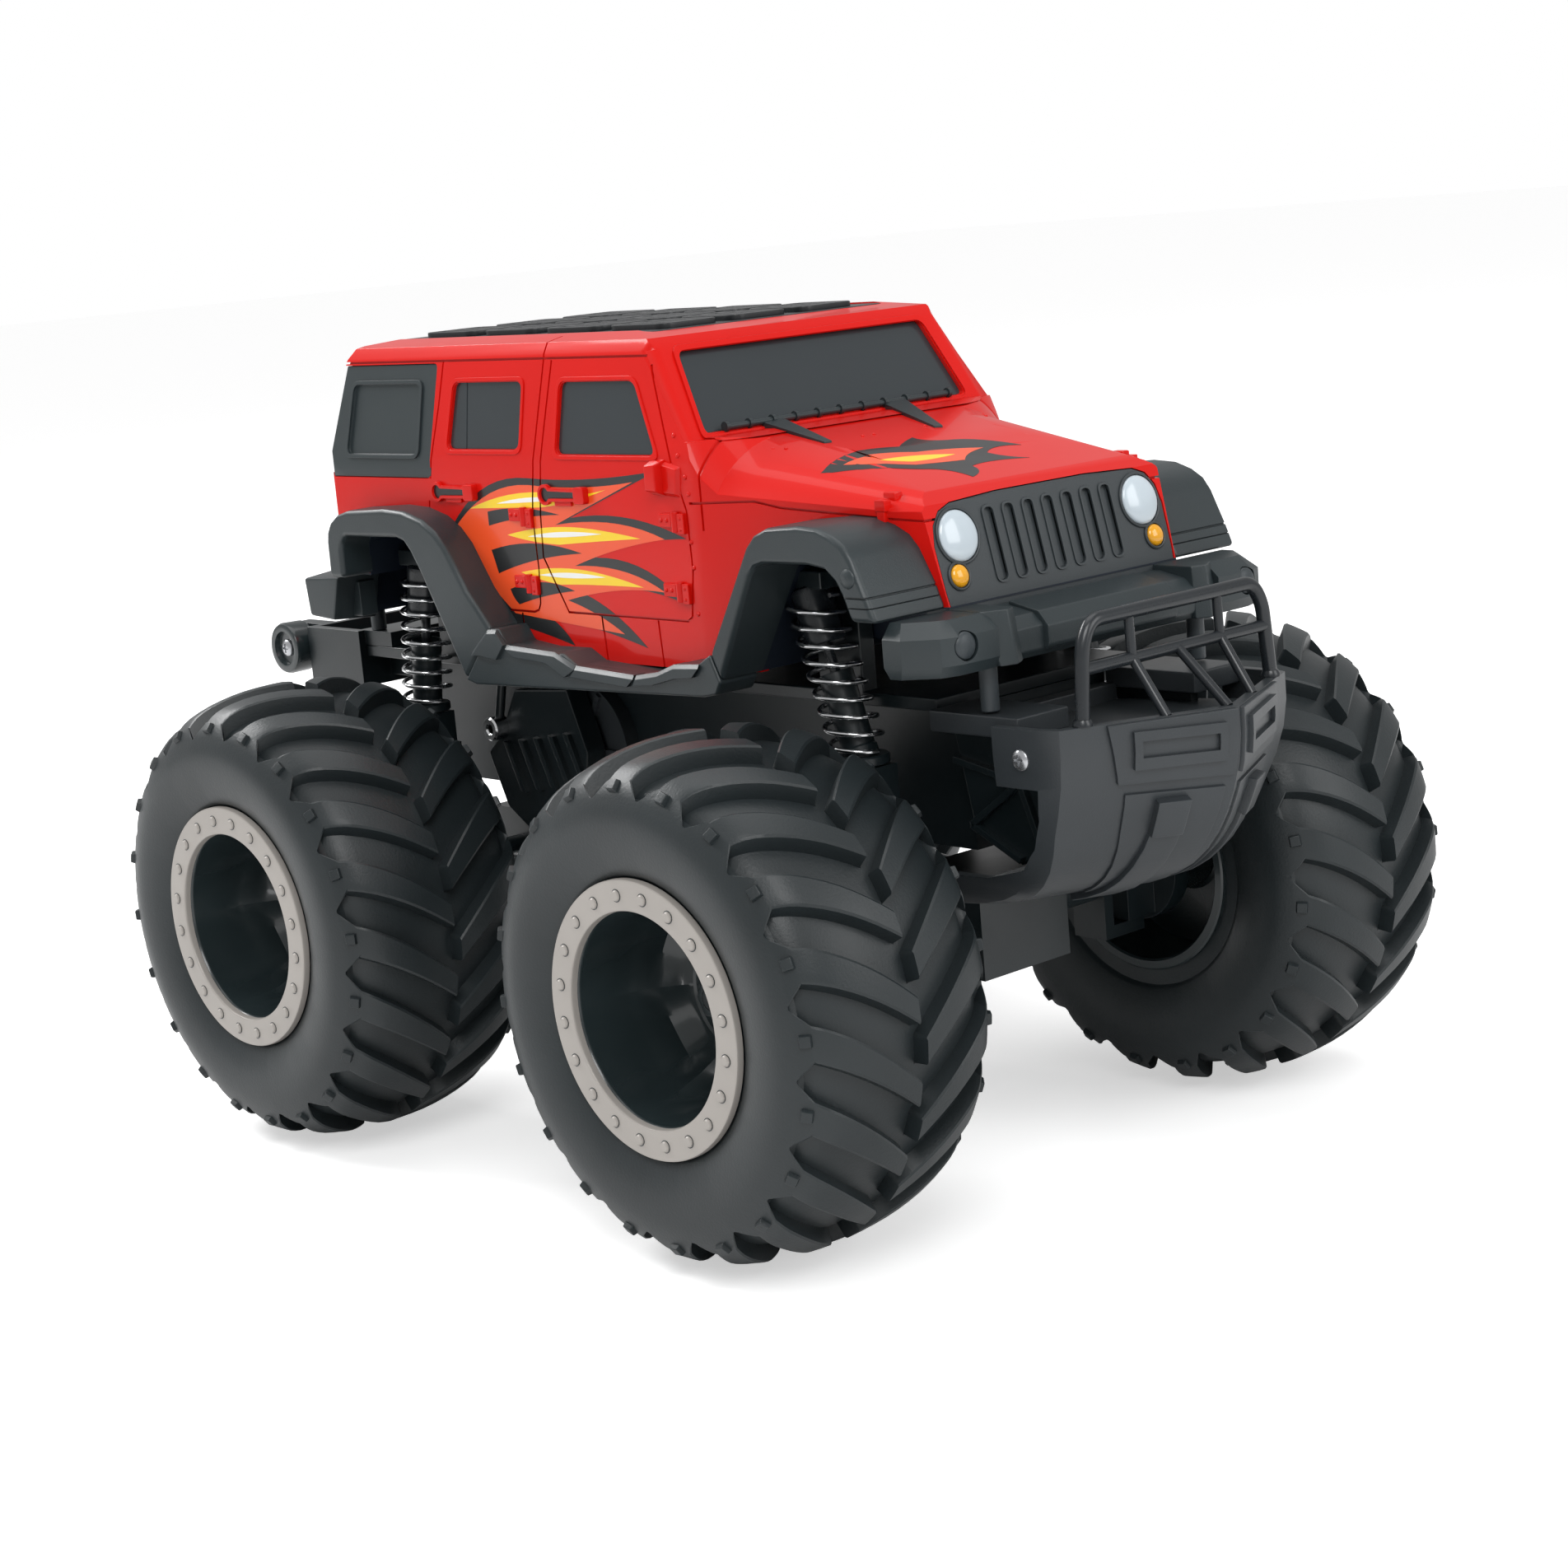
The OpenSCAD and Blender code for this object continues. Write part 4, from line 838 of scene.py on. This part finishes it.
def build_guard():
    rings = []
    for t in [k / 2 for k in range(2 * len(GUARD_RUN) - 1)]:
        half = guard_row(t)
        end = Vector((100, half[-1].y, half[0].z))
        rings.append([end] + half[::-1] + [Vector((p.x, -p.y, p.z)) for p in half[1:] + [end]])
    skin = loft(rings, caps=False, loop=False)
    m = skin.modifiers.new("s", "SOLIDIFY")
    m.thickness, m.offset, m.use_even_offset = 2.4, -1, True
    applied(skin)
    if sum(f.normal.x for f in skin.data.polygons if f.center.x > 154) < 0:
        skin.data.flip_normals()
    # the sides are open behind the shoulder band, below the screw plate
    cut(skin, through([(80, 112), (121.5, 112), (121.5, 97.3), (133, 97.3), (131.6, 90.5), (128.6, 84),
                       (123.6, 78.6), (112, 75.6), (80, 74.5)]))
    # plate under the rim on each side of the nose, and a frame on it round a long slot
    plate = guard_patch([(0.02, 0.05), (1.0, 0.05), (0.93, 2.15), (0.03, 2.35)], 0.9, (8, 6))
    frame_top = guard_patch([(0.12, 0.45), (0.82, 0.35), (0.82, 1.65), (0.12, 1.75)], 1.9, (8, 4))
    cut(frame_top, guard_patch([(0.18, 0.80), (0.76, 0.70), (0.76, 1.25), (0.18, 1.35)], 3.0, (8, 4)))
    # a broad shallow panel below, with the tab and the rib that runs down from it
    panel = guard_patch([(0.08, 2.75), (0.86, 2.55), (0.80, 8.6), (0.10, 8.9)], 0.6, (8, 14))
    tab = guard_patch([(0.36, 2.9), (0.62, 2.85), (0.62, 4.4), (0.36, 4.45)], 2.6, (4, 5))
    rib = guard_patch([(0.36, 4.4), (0.62, 4.35), (0.76, 9.6), (0.42, 9.7)], 1.7, (4, 16))
    patches = [bevel(ob, r, 2, 40)
               for ob, r in ((plate, 0.3), (frame_top, 0.22), (panel, 0.2), (tab, 0.45), (rib, 0.4))]
    # a shelf inside under the struts, and the blocks that tie the guard to the chassis
    shelf = prism([(101, -20.5), (133, -33), (142, -24), (152, -3), (152, 3), (142, 24), (133, 33),
                   (101, 20.5)], "z", 101.6, 104.2)
    ties = [bevel(block(lo, hi), 0.5, 2, 40)
            for lo, hi in (((99.5, -20.5, 94), (104, 20.5, 108)), ((101, 20, 107), (127, 35.6, 111.6)),
                           ((101, -35.6, 107), (127, -20, 111.6)))]
    parts = [bevel(skin, 0.4, 2, 25), both(join(patches)), bevel(shelf, 0.3, 2, 40)] + ties
    look(join(parts), "front_guard", GUARD, 24)


def build_bull_bar():
    hoop = [(139.95, 30.1, 109.5), (139.8, 28.6, 126.5), (139.7, 25.6, 131.1)]
    hoop = [(x, -y, z) for x, y, z in hoop] + hoop[::-1]
    parts = [tube(arc_bend(hoop, 4.2, 7), 1.55, 24), tube([(140, -29.2, 121.4), (140, 29.2, 121.4)], 1.3, 20)]
    for s in (-1, 1):
        parts.append(tube([(139.7, 14 * s, 131.1), (140, 14 * s, 121.4)], 1.05, 18))
        parts.append(tube([(140, 14 * s, 121.6), (148.3, 13.7 * s, 109.6)], 1.1, 18))
        parts.append(turned([(2.1, 110), (2.1, 110.6), (1.7, 111.4)], 28, "z", (139.95, 30.1 * s, 0)))
    parts.append(tube([(140, 0, 121.6), (153.2, 0, 109.6)], 1.1, 18))
    look(join(parts), "bull_bar", TUBE, 35)


# ---------------------------------------------------------------- springs and shocks
SHOCKS = {"front": (69.5, radians(18.5)), "rear": (-75.0, radians(-8.2))}  # x of the top end, lean
SHOCK_Y, SHOCK_Z = 38, 137


def build_springs():
    turns, radius, wire, top, foot = 9, 6.0, 0.55, 136, 101.4
    for end, side in [(end, side) for end in SHOCKS for side in ("right", "left")]:
        top_x, lean = SHOCKS[end]
        rings = []
        for t in [k / (turns * 28) for k in range(turns * 28 + 1)]:
            z = top - wire + (foot - top + 2 * wire) * t
            a = 2 * pi * turns * t + (0 if side == "right" else pi)
            r = radius - 0.25 * (1 - min(1, t * turns / 0.8, (1 - t) * turns / 0.8))  # the end turns close up
            y = SHOCK_Y if side == "left" else -SHOCK_Y
            c = Vector((top_x + (SHOCK_Z - z) * tan(lean) + r * cos(a), y + r * sin(a), z))
            rings.append([c + Vector((cos(b) * cos(a), cos(b) * sin(a), sin(b))) * wire for b in angles(10)])
        ob = look(loft(rings), f"spring_{end}_{side}", STEEL, 60)
        ob.modifiers.clear()
        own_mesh(ob)


def build_shocks():
    for end, (top_x, lean) in SHOCKS.items():
        rods, tubes = [], []
        for y in (-SHOCK_Y, SHOCK_Y):
            rod = turned([(1.0, -30), (1.2, -29.6), (1.2, -13), (4.2, -13), (4.5, -12.7), (4.5, -1.4),
                          (4.3, -0.4), (3.2, 0.2)], 32, "z")
            tube_ = lathe([(3.4, -19.5), (3.75, -19.5), (3.9, -19.8), (3.9, -22.6), (3.75, -23.1),
                           (3.75, -36.2), (4.1, -36.6), (4.1, -41.6), (3.6, -42), (0.0001, -42),
                           (0.0001, -37.4), (3.4, -37.4)], 36, "z")
            seat = turned([(5.6, 99), (5.9, 99.3), (5.9, 100.8), (5.6, 101.1)], 36, "z",
                          (top_x + 38 * tan(lean), y, 0))
            for part in (rod, tube_):
                part.data.transform(Matrix.Translation((top_x, y, SHOCK_Z)) @ Matrix.Rotation(-lean, 4, "Y"))
            rods.append(rod)
            tubes += [tube_, seat]
        look(join(rods), f"shock_rods_{end}", TUBE, 35)
        look(join(tubes), f"shock_tubes_{end}", CHASSIS, 35, end + "_axle")


# ---------------------------------------------------------------- rollers and screws
def screw_head(centre, normal, r):
    """A pan head with a cross recess."""
    head = lathe([(0.0001, -0.4), (r, -0.4), (r, 0.15), (r * 0.86, 0.5), (r * 0.5, 0.72), (0.0001, 0.78)],
                 32, "z", closed=False)
    for w, l in ((r * 0.26, r * 1.1), (r * 1.1, r * 0.26)):
        cut(head, block((-w / 2, -l / 2, 0.25), (w / 2, l / 2, 2)))
    return aimed(head, centre, normal)


def build_frame_details():
    """Side plates of the front frame, the ribbed rear arms and small links, all fixed to the chassis."""
    plate = prism([(99, 108), (122, 108.6), (122, 98), (129, 97), (125.5, 84), (117, 77.6), (104, 84)],
                  "y", 24.5, 27)
    parts = [bevel(plate, 0.4, 2, 30)]
    for a, b in (((100, 107), (121.5, 107.8)), ((100, 99.5), (119, 96)), ((119, 96), (124, 83)),
                 ((104, 85.5), (118, 79)), ((104, 85.5), (119, 96))):
        parts.append(bevel(prism(ribbon([a, b], 1.6), "y", 26, 28.6), 0.3, 2, 30))
    arm = prism([(-63, 88.6), (-57, 93.6), (-49.5, 105.6), (-28, 107), (-22, 92), (-26, 73), (-44, 67),
                 (-57, 75)], "y", 27, 33)
    parts.append(bevel(arm, 0.6, 2, 30))
    for k in range(5):
        x = -49 + 6.2 * k
        rib = [(x, 80 + k), (x + 2.1, 79.6 + k), (x - 3.4, 92 + k), (x - 5.5, 92.4 + k)]
        parts.append(bevel(prism(rib, "y", 32, 34.4), 0.3, 2, 30))
    parts.append(tube([(-56, 34, 95.7), (-53, 33, 111)], 1.2, 14))
    parts.append(bevel(block((-110, 2, 97), (-86, 21, 111)), 0.6, 2, 30))
    bake(both(join(parts)), "frame_details", CHASSIS, "car")
    eyelet = lathe([(1.1, 32.6), (3.0, 32.6), (3.0, 36.6), (2.6, 37), (1.5, 37), (1.1, 36.6)], 28, "y",
                   (-56, 0, 95.7))
    bake(both(eyelet), "link_eyelets", STEEL, "car", smooth=40)


def build_rollers():
    profile = [(1.5, 28.9), (6.2, 29.0), (6.9, 29.8), (7.0, 35.0), (6.6, 35.8), (5.8, 36.0), (4.7, 35.9),
               (4.3, 34.6), (1.5, 34.4)]
    for side, s in (("right", -1), ("left", 1)):
        roller = lathe([(r, s * y) for r, y in profile], 56, "y", (-149, 0, 111))
        look(roller, "roller_" + side, RIM, 30, "roller_" + side)
    screws = [screw_head((-149, s * 34.9, 111), (0, s, 0), 2.3) for s in (-1, 1)]
    screws += [screw_head((129.5, s * 38.1, 103.6), (0, s, 0), 2.2) for s in (-1, 1)]
    look(join(screws), "frame_screws", SCREW, 35)


build_guard()
build_bull_bar()
build_springs()
build_shocks()
build_rollers()
build_frame_details()


# ---------------------------------------------------------------- CAD parts that stay as they are
KEPT = {"body_floor": LINER, "body_posts": TRIM_LIGHT, "tie_rod": TRIM_LIGHT, "battery_pack": WRAP,
        "power_switch": SWITCH, "gear_case_cover": GUARD}
KEPT.update(dict.fromkeys(("chassis_tub", "chassis_deck", "battery_door", "rear_frame", "front_axle",
                           "rear_axle", "knuckle_right", "knuckle_left"), CHASSIS))


def dress_kept():
    for node, mat in KEPT.items():
        ob = nodes[node]
        ob.data.materials.clear()
        ob.data.materials.append(mat)
        w = ob.modifiers.new("weld", "WELD")
        w.merge_threshold = 2e-6
        d = ob.modifiers.new("flat", "DECIMATE")
        d.decimate_type, d.angle_limit = "DISSOLVE", radians(0.6)
        b = ob.modifiers.new("edge", "BEVEL")
        b.width, b.segments, b.limit_method, b.angle_limit = 0.0004, 2, "ANGLE", radians(35)
        n = ob.modifiers.new("shade", "WEIGHTED_NORMAL")
        n.keep_sharp = True
        ob.data.shade_smooth()


dress_kept()


# ---------------------------------------------------------------- fittings and graphics on the body
def between(line, v, i=0, j=1):
    """Reads a line of points: coordinate j where coordinate i is v."""
    for a, b in zip(line, line[1:]):
        if a[i] <= v <= b[i]:
            return a[j] + (b[j] - a[j]) * (v - a[i]) / (b[i] - a[i])
    return 999


def side_y(x, z):
    """Half width of the body's skin at x and z."""
    return min(between(half_plan(0), x), between(half_section(0)[:3], z, 1, 0))


def hood_z(x):
    """Height of the hood's flat top at x, or of the cowl behind it."""
    return min(COWL_Z, between(side_outline(0)[10:13], x))


def hood_at(x, y):
    """Height of the hood's skin at x and y, with its falling sides."""
    return min(hood_z(x), between(shoulder(x), abs(y)))


def pad(points, high, edge=0.15):
    """A flat raised shape on the side of the body."""
    return bevel(prism(points, "y", SIDE_Y - 0.4, SIDE_Y + high), edge, 2, 35)


def oblong(x0, x1, z0, z1, r=0.5):
    return box_round(x0, z0, x1, z1, r, 4)


def build_handles():
    red, dark = [], []
    for x in (-50.0, -7.0):
        key = [(x + 1.7 * cos(radians(a)), 157.3 + 1.7 * sin(radians(a))) for a in range(30, 331, 15)]
        key += [(x + 12.2, 156.6), (x + 12.6, 157.3), (x + 12.2, 158.0)]
        key = key[::-1]
        rim = prism(ring_round(grow(key, 0.75), 0.4, 2), "y", SIDE_Y - 0.4, SIDE_Y + 1.1)
        red.append(bevel(cut(rim, prism(key, "y", SIDE_Y + 0.25, SIDE_Y + 4)), 0.18, 2, 38))
        red.append(pad(oblong(x + 11.6, x + 15.6, 155.3, 159.3, 0.9), 1.7, 0.35))
        red.append(pad(oblong(x + 3.2, x + 9.5, 154.7, 156.0, 0.5), 0.7, 0.25))
        dark.append(prism(grow(key, -0.05), "y", SIDE_Y + 0.1, SIDE_Y + 0.45))
    look(both(join(red)), "door_handles", RED, 35)
    bake(both(join(dark)), "handle_recesses", INK_BLACK, "car")
    parts = []
    for x, z in ((-16.4, 152.3), (-16.6, 136.4), (39.3, 152.3), (38.9, 136.6)):
        parts.append(pad(oblong(x - 5.6, x - 1.3, z - 1.5, z + 1.5, 0.3), 0.75, 0.2))
        parts.append(pad(oblong(x + 0.9, x + 3.2, z - 3.0, z + 1.6, 0.3), 0.9, 0.2))
        parts.append(turned([(0.85, z - 2.6), (0.95, z - 2.4), (0.95, z + 1.7), (0.85, z + 1.9)], 24, "z",
                            (x, SIDE_Y + 0.5, 0)))
        for dx, dz in ((-4.6, 0), (-2.7, 0), (2.0, -1.9), (2.0, 0.5)):
            parts.append(dome((x + dx, SIDE_Y + 0.75, z + dz), (0, 1, 0), 0.5, 0.35, 0.2, 3, 14))
    look(both(join(parts)), "door_hinges", RED, 35)


def build_side_fittings():
    mount = prism([(31.6, 157.7), (36.9, 157.4), (36.9, 165.9), (31.6, 165.7)], "y", SIDE_Y - 0.5,
                  SIDE_Y + 3.0, top=[(32.8, 159.1), (36.3, 158.9), (36.3, 164.8), (32.8, 164.6)])
    wing = prism([(36.5, 157.3), (41.4, 157.0), (42.4, 164.4), (36.5, 165.6)], "y", SIDE_Y - 0.5,
                 SIDE_Y + 1.0, top=[(36.5, 158.5), (40.6, 158.2), (41.4, 163.6), (36.5, 164.7)])
    parts = [bevel(mount, 0.35, 2, 25), bevel(wing, 0.25, 2, 25)]
    for x, z in ((39.9, 171.0), (41.4, 166.6), (43.5, 161.9), (44.2, 158.2), (43.6, 147.5), (43.8, 141.8),
                 (43.8, 131.5)):
        y = side_y(x, z)
        parts.append(dome((x, y, z), (0, 1, 0.12 if z > BELT_Z else 0), 0.55, 0.4, 0.3, 4, 18))
    bake(both(join(parts)), "side_fittings", RED, "car")
    y = side_y(95.6, 152)
    straps = [bevel(block((95.6 - w, y - 1.2, z0), (95.6 + w, y + out, z1)), 0.2, 2, 35)
              for z0, z1, w, out in ((151.2, 155.6, 1.1, 0.75), (154.2, 156.6, 1.5, 0.9),
                                     (150.5, 151.7, 1.3, 1.0))]
    knob = [bevel(block((93.8, 34.6, hood_at(95.6, 37) - 1.2), (97.4, 37.0, hood_at(95.6, 36) + 1.0)),
                  0.35, 2, 35)]
    look(both(join(straps + knob)), "hood_latches", RED, 35)
    # wiper blades lying forward on the cowl, with the row of hinge loops at the foot of the windshield
    blades = []
    for root, tip in (((42.6, -21.2), (63.0, -23.0)), ((43.5, 16.6), (64.9, 9.5))):
        a, b = Vector(root), Vector(tip)
        side = Vector((-(b - a).y, (b - a).x)).normalized()
        plan = [(a - side * 3.0, 2.0), (a + side * 3.0, 2.3), (b + side * 1.1, 0.5), (b - side * 1.1, 0.5)]
        blades.append(bevel(loft([[(p.x, p.y, hood_z(p.x) + h) for p, h in level]
                                  for level in ([(p, -0.5) for p, _ in plan], plan)]), 0.2, 2, 30))
    blades.append(turned([(0.75, -35.5), (0.75, 35.5)], 20, "y", (43.0, 0, 171.4)))
    blades += [turned([(1.15, y - 0.45), (1.15, y + 0.45)], 20, "y", (43.0, 0, 171.5))
               for y in range(-35, 36, 7)]
    look(join(blades), "wipers", TRIM, 35)
    bumps = [dome((x, y, hood_at(x, y) - 0.05), (0.19, 0, 1), 0.5, 0.4, 0.5, 3, 14)
             for x, y in ((56, -33), (58.5, -31.5), (56, 33), (58.5, 31.5),
                          (62, -8), (62, -11.5), (62, 8), (62, 11.5))]
    bake(join(bumps), "hood_bolts", RED, "car")


def swoop(start, *turns):
    """A closed outline of curved strokes: each turn is a control point and an end point."""
    out, p = [], Vector(start)
    for c, q in turns:
        out += [tuple(v) for v in curve(p, Vector(c), Vector(q), 9)[:-1]]
        p = Vector(q)
    return out


def build_graphics():
    dark = swoop((-46, 149), ((-33, 162), (-14, 161)), ((8, 160), (34, 163.2)), ((14, 156.5), (1, 152)),
                 ((22, 154.8), (42, 148.2)), ((22, 147.6), (9, 143)), ((27, 143.8), (40, 133.6)),
                 ((20, 138.6), (4, 134.2)), ((15, 131), (25, 122.8)), ((4, 127.6), (-10, 128)),
                 ((-5, 125.6), (-2, 121.9)), ((-14, 124.6), (-25, 126)), ((-36, 136), (-46, 149)))
    hot = swoop((-46, 147.6), ((-32, 159.8), (-14, 159.4)), ((6, 158.2), (25, 160.6)),
                ((10, 155.4), (-5, 150.2)), ((18, 153.2), (34.5, 147.9)), ((17, 145.8), (1, 140.8)),
                ((20, 142), (33, 135.9)), ((16, 136.9), (-3, 132.6)), ((9, 130), (17, 125.6)),
                ((2, 126.6), (-24, 128.6)), ((-36, 137), (-46, 147.6)))
    cuts = [swoop((-31, 152.8), ((-18, 155), (-3, 152.6)), ((-18, 152.2), (-31, 149.4)),
                  ((-31, 151), (-31, 152.8))),
            swoop((-31, 143.6), ((-14, 147.6), (4, 143.8)), ((-14, 142.6), (-29, 138)),
                  ((-30, 141), (-31, 143.6))),
            swoop((-25, 134.4), ((-12, 138.4), (0, 134.9)), ((-12, 133.6), (-22, 130.8)),
                  ((-24, 132), (-25, 134.4)))]
    yellow = [swoop((-38, 153.4), ((-20, 159), (-2, 157.4)), ((6, 157), (15, 158.7)),
                    ((2, 155.2), (-10, 154.2)), ((-26, 153.8), (-38, 153.4))),
              swoop((-24, 147.4), ((-8, 150.6), (8, 149.6)), ((17, 149), (26, 147.8)),
                    ((10, 146.8), (-4, 145.6)), ((-15, 145.8), (-24, 147.4))),
              swoop((-20, 138.6), ((-6, 141), (8, 139.6)), ((17, 138.6), (25.5, 136.7)),
                    ((8, 136.8), (-5, 136.2)), ((-14, 137), (-20, 138.6)))]
    white = [swoop((-27, 154.8), ((-14, 157.4), (0, 156.3)), ((-14, 155.2), (-27, 154.8))),
             swoop((-16, 147.2), ((-4, 149.4), (12, 148.5)), ((-4, 146.9), (-16, 147.2))),
             swoop((-13, 138.2), ((-2, 139.9), (12, 138.5)), ((-2, 137.4), (-13, 138.2)))]
    seams = join([through(ribbon(line, SEAM)) for line in groove_lines()])
    for name, shapes, high, mat in (("side_graphic_dark", [dark], 0.05, INK_BLACK),
                                    ("side_graphic_orange", [hot], 0.08, INK_ORANGE),
                                    ("side_graphic_cuts", cuts, 0.11, INK_BLACK),
                                    ("side_graphic_yellow", yellow, 0.11, INK_YELLOW),
                                    ("side_graphic_white", white, 0.14, INK_WHITE)):
        ob = both(join([prism(p, "y", SIDE_Y - 0.3, SIDE_Y + high) for p in shapes]))
        cut(ob, seams, keep=True)
        bake(ob, name, mat, "car")
    remove(seams)
    wing = swoop((74, -36), ((70, -22), (74, -12)), ((71, -8), (69, -3)), ((73, -4), (75, 2)),
                 ((76, 10), (85, 15)), ((82, 8), (86, 3)), ((90, 4), (93, 9)), ((90, -2), (92, -8)),
                 ((96, -8), (98, -14)), ((91, -14), (89, -20)), ((84, -30), (74, -36)))
    heart = swoop((76, -31), ((75, -20), (79, -12)), ((80, -2), (83, 5)), ((84, -2), (88, -6)),
                  ((87, -14), (86, -19)), ((82, -27), (76, -31)))
    flash = swoop((80, -24), ((80, -14), (84, -5)), ((85, -12), (84, -18)), ((82, -22), (80, -24)))
    for name, shape, high, mat in (("hood_graphic_dark", wing, 0.05, INK_BLACK),
                                   ("hood_graphic_orange", heart, 0.08, INK_ORANGE),
                                   ("hood_graphic_yellow", flash, 0.11, INK_YELLOW)):
        bake(layer(-high, 0.3, prism(shape, "z", 150, 175)), name, mat, "car")


build_handles()
build_side_fittings()
build_graphics()


# ---------------------------------------------------------------- floor, light and camera
def area(name, where, aim, size, power):
    data = bpy.data.lights.new(name, "AREA")
    data.shape, data.size, data.size_y, data.energy = "RECTANGLE", size[0], size[1], power
    ob = added(name, data)
    ob.location = where
    ob.rotation_euler = (Vector(aim) - Vector(where)).to_track_quat("-Z", "Y").to_euler()


def build_stage():
    floor = make([(-9, -9, 0), (9, -9, 0), (9, 9, 0), (-9, 9, 0)], [(0, 1, 2, 3)], "floor")
    pale = moulded("floor_pale", (0.86, 0.86, 0.86), rough=0.6, tint=0.01)
    floor.data.materials.append(pale)
    # the floor glows a little and the world is brighter, but only as the camera sees them
    t = pale.node_tree
    glow = t.nodes["Principled BSDF"].inputs
    scale = t.nodes.new("ShaderNodeMath")
    scale.operation = "MULTIPLY"
    scale.inputs[1].default_value = 0.52
    t.links.new(t.nodes.new("ShaderNodeLightPath").outputs["Is Camera Ray"], scale.inputs[0])
    t.links.new(scale.outputs["Value"], glow["Emission Strength"])
    glow["Emission Color"].default_value = (1, 1, 1, 1)
    world = bpy.data.worlds.new("studio")
    bpy.context.scene.world = world
    world.use_nodes = True
    t = world.node_tree
    sky = t.nodes["Background"].inputs
    sky["Color"].default_value = (1, 1, 1, 1)
    level = t.nodes.new("ShaderNodeMapRange")
    level.inputs["To Min"].default_value, level.inputs["To Max"].default_value = 0.52, 1.0
    t.links.new(t.nodes.new("ShaderNodeLightPath").outputs["Is Camera Ray"], level.inputs["Value"])
    t.links.new(level.outputs["Result"], sky["Strength"])
    area("key", (1.05, -0.85, 1.25), (0, 0, 0.08), (0.8, 0.8), 13)
    area("fill", (1.3, 0.5, 0.7), (0, 0, 0.1), (0.8, 0.8), 6)
    area("top", (-0.1, 0.1, 1.6), (0, 0, 0.1), (1.2, 1.2), 7)
    area("rim", (-1.3, -0.42, 1.18), (0, 0, 0.15), (0.9, 0.5), 22)


def build_camera():
    cam = bpy.data.cameras.new("camera")
    cam.lens, cam.sensor_width, cam.clip_start, cam.clip_end = 68.597, 36, 0.01, 50
    ob = added("camera", cam)
    right, down = Vector((0.66759, 0.73957, -0.08575)), Vector((0.08803, -0.19277, -0.97729))
    ahead = Vector((-0.7393, 0.64488, -0.19379))
    ob.matrix_world = Matrix((
        (right.x, -down.x, -ahead.x, 0.54936), (right.y, -down.y, -ahead.y, -0.46881),
        (right.z, -down.z, -ahead.z, 0.22141), (0, 0, 0, 1)))
    bpy.context.scene.camera = ob
    bpy.context.scene.view_settings.view_transform = "Standard"


build_stage()
build_camera()
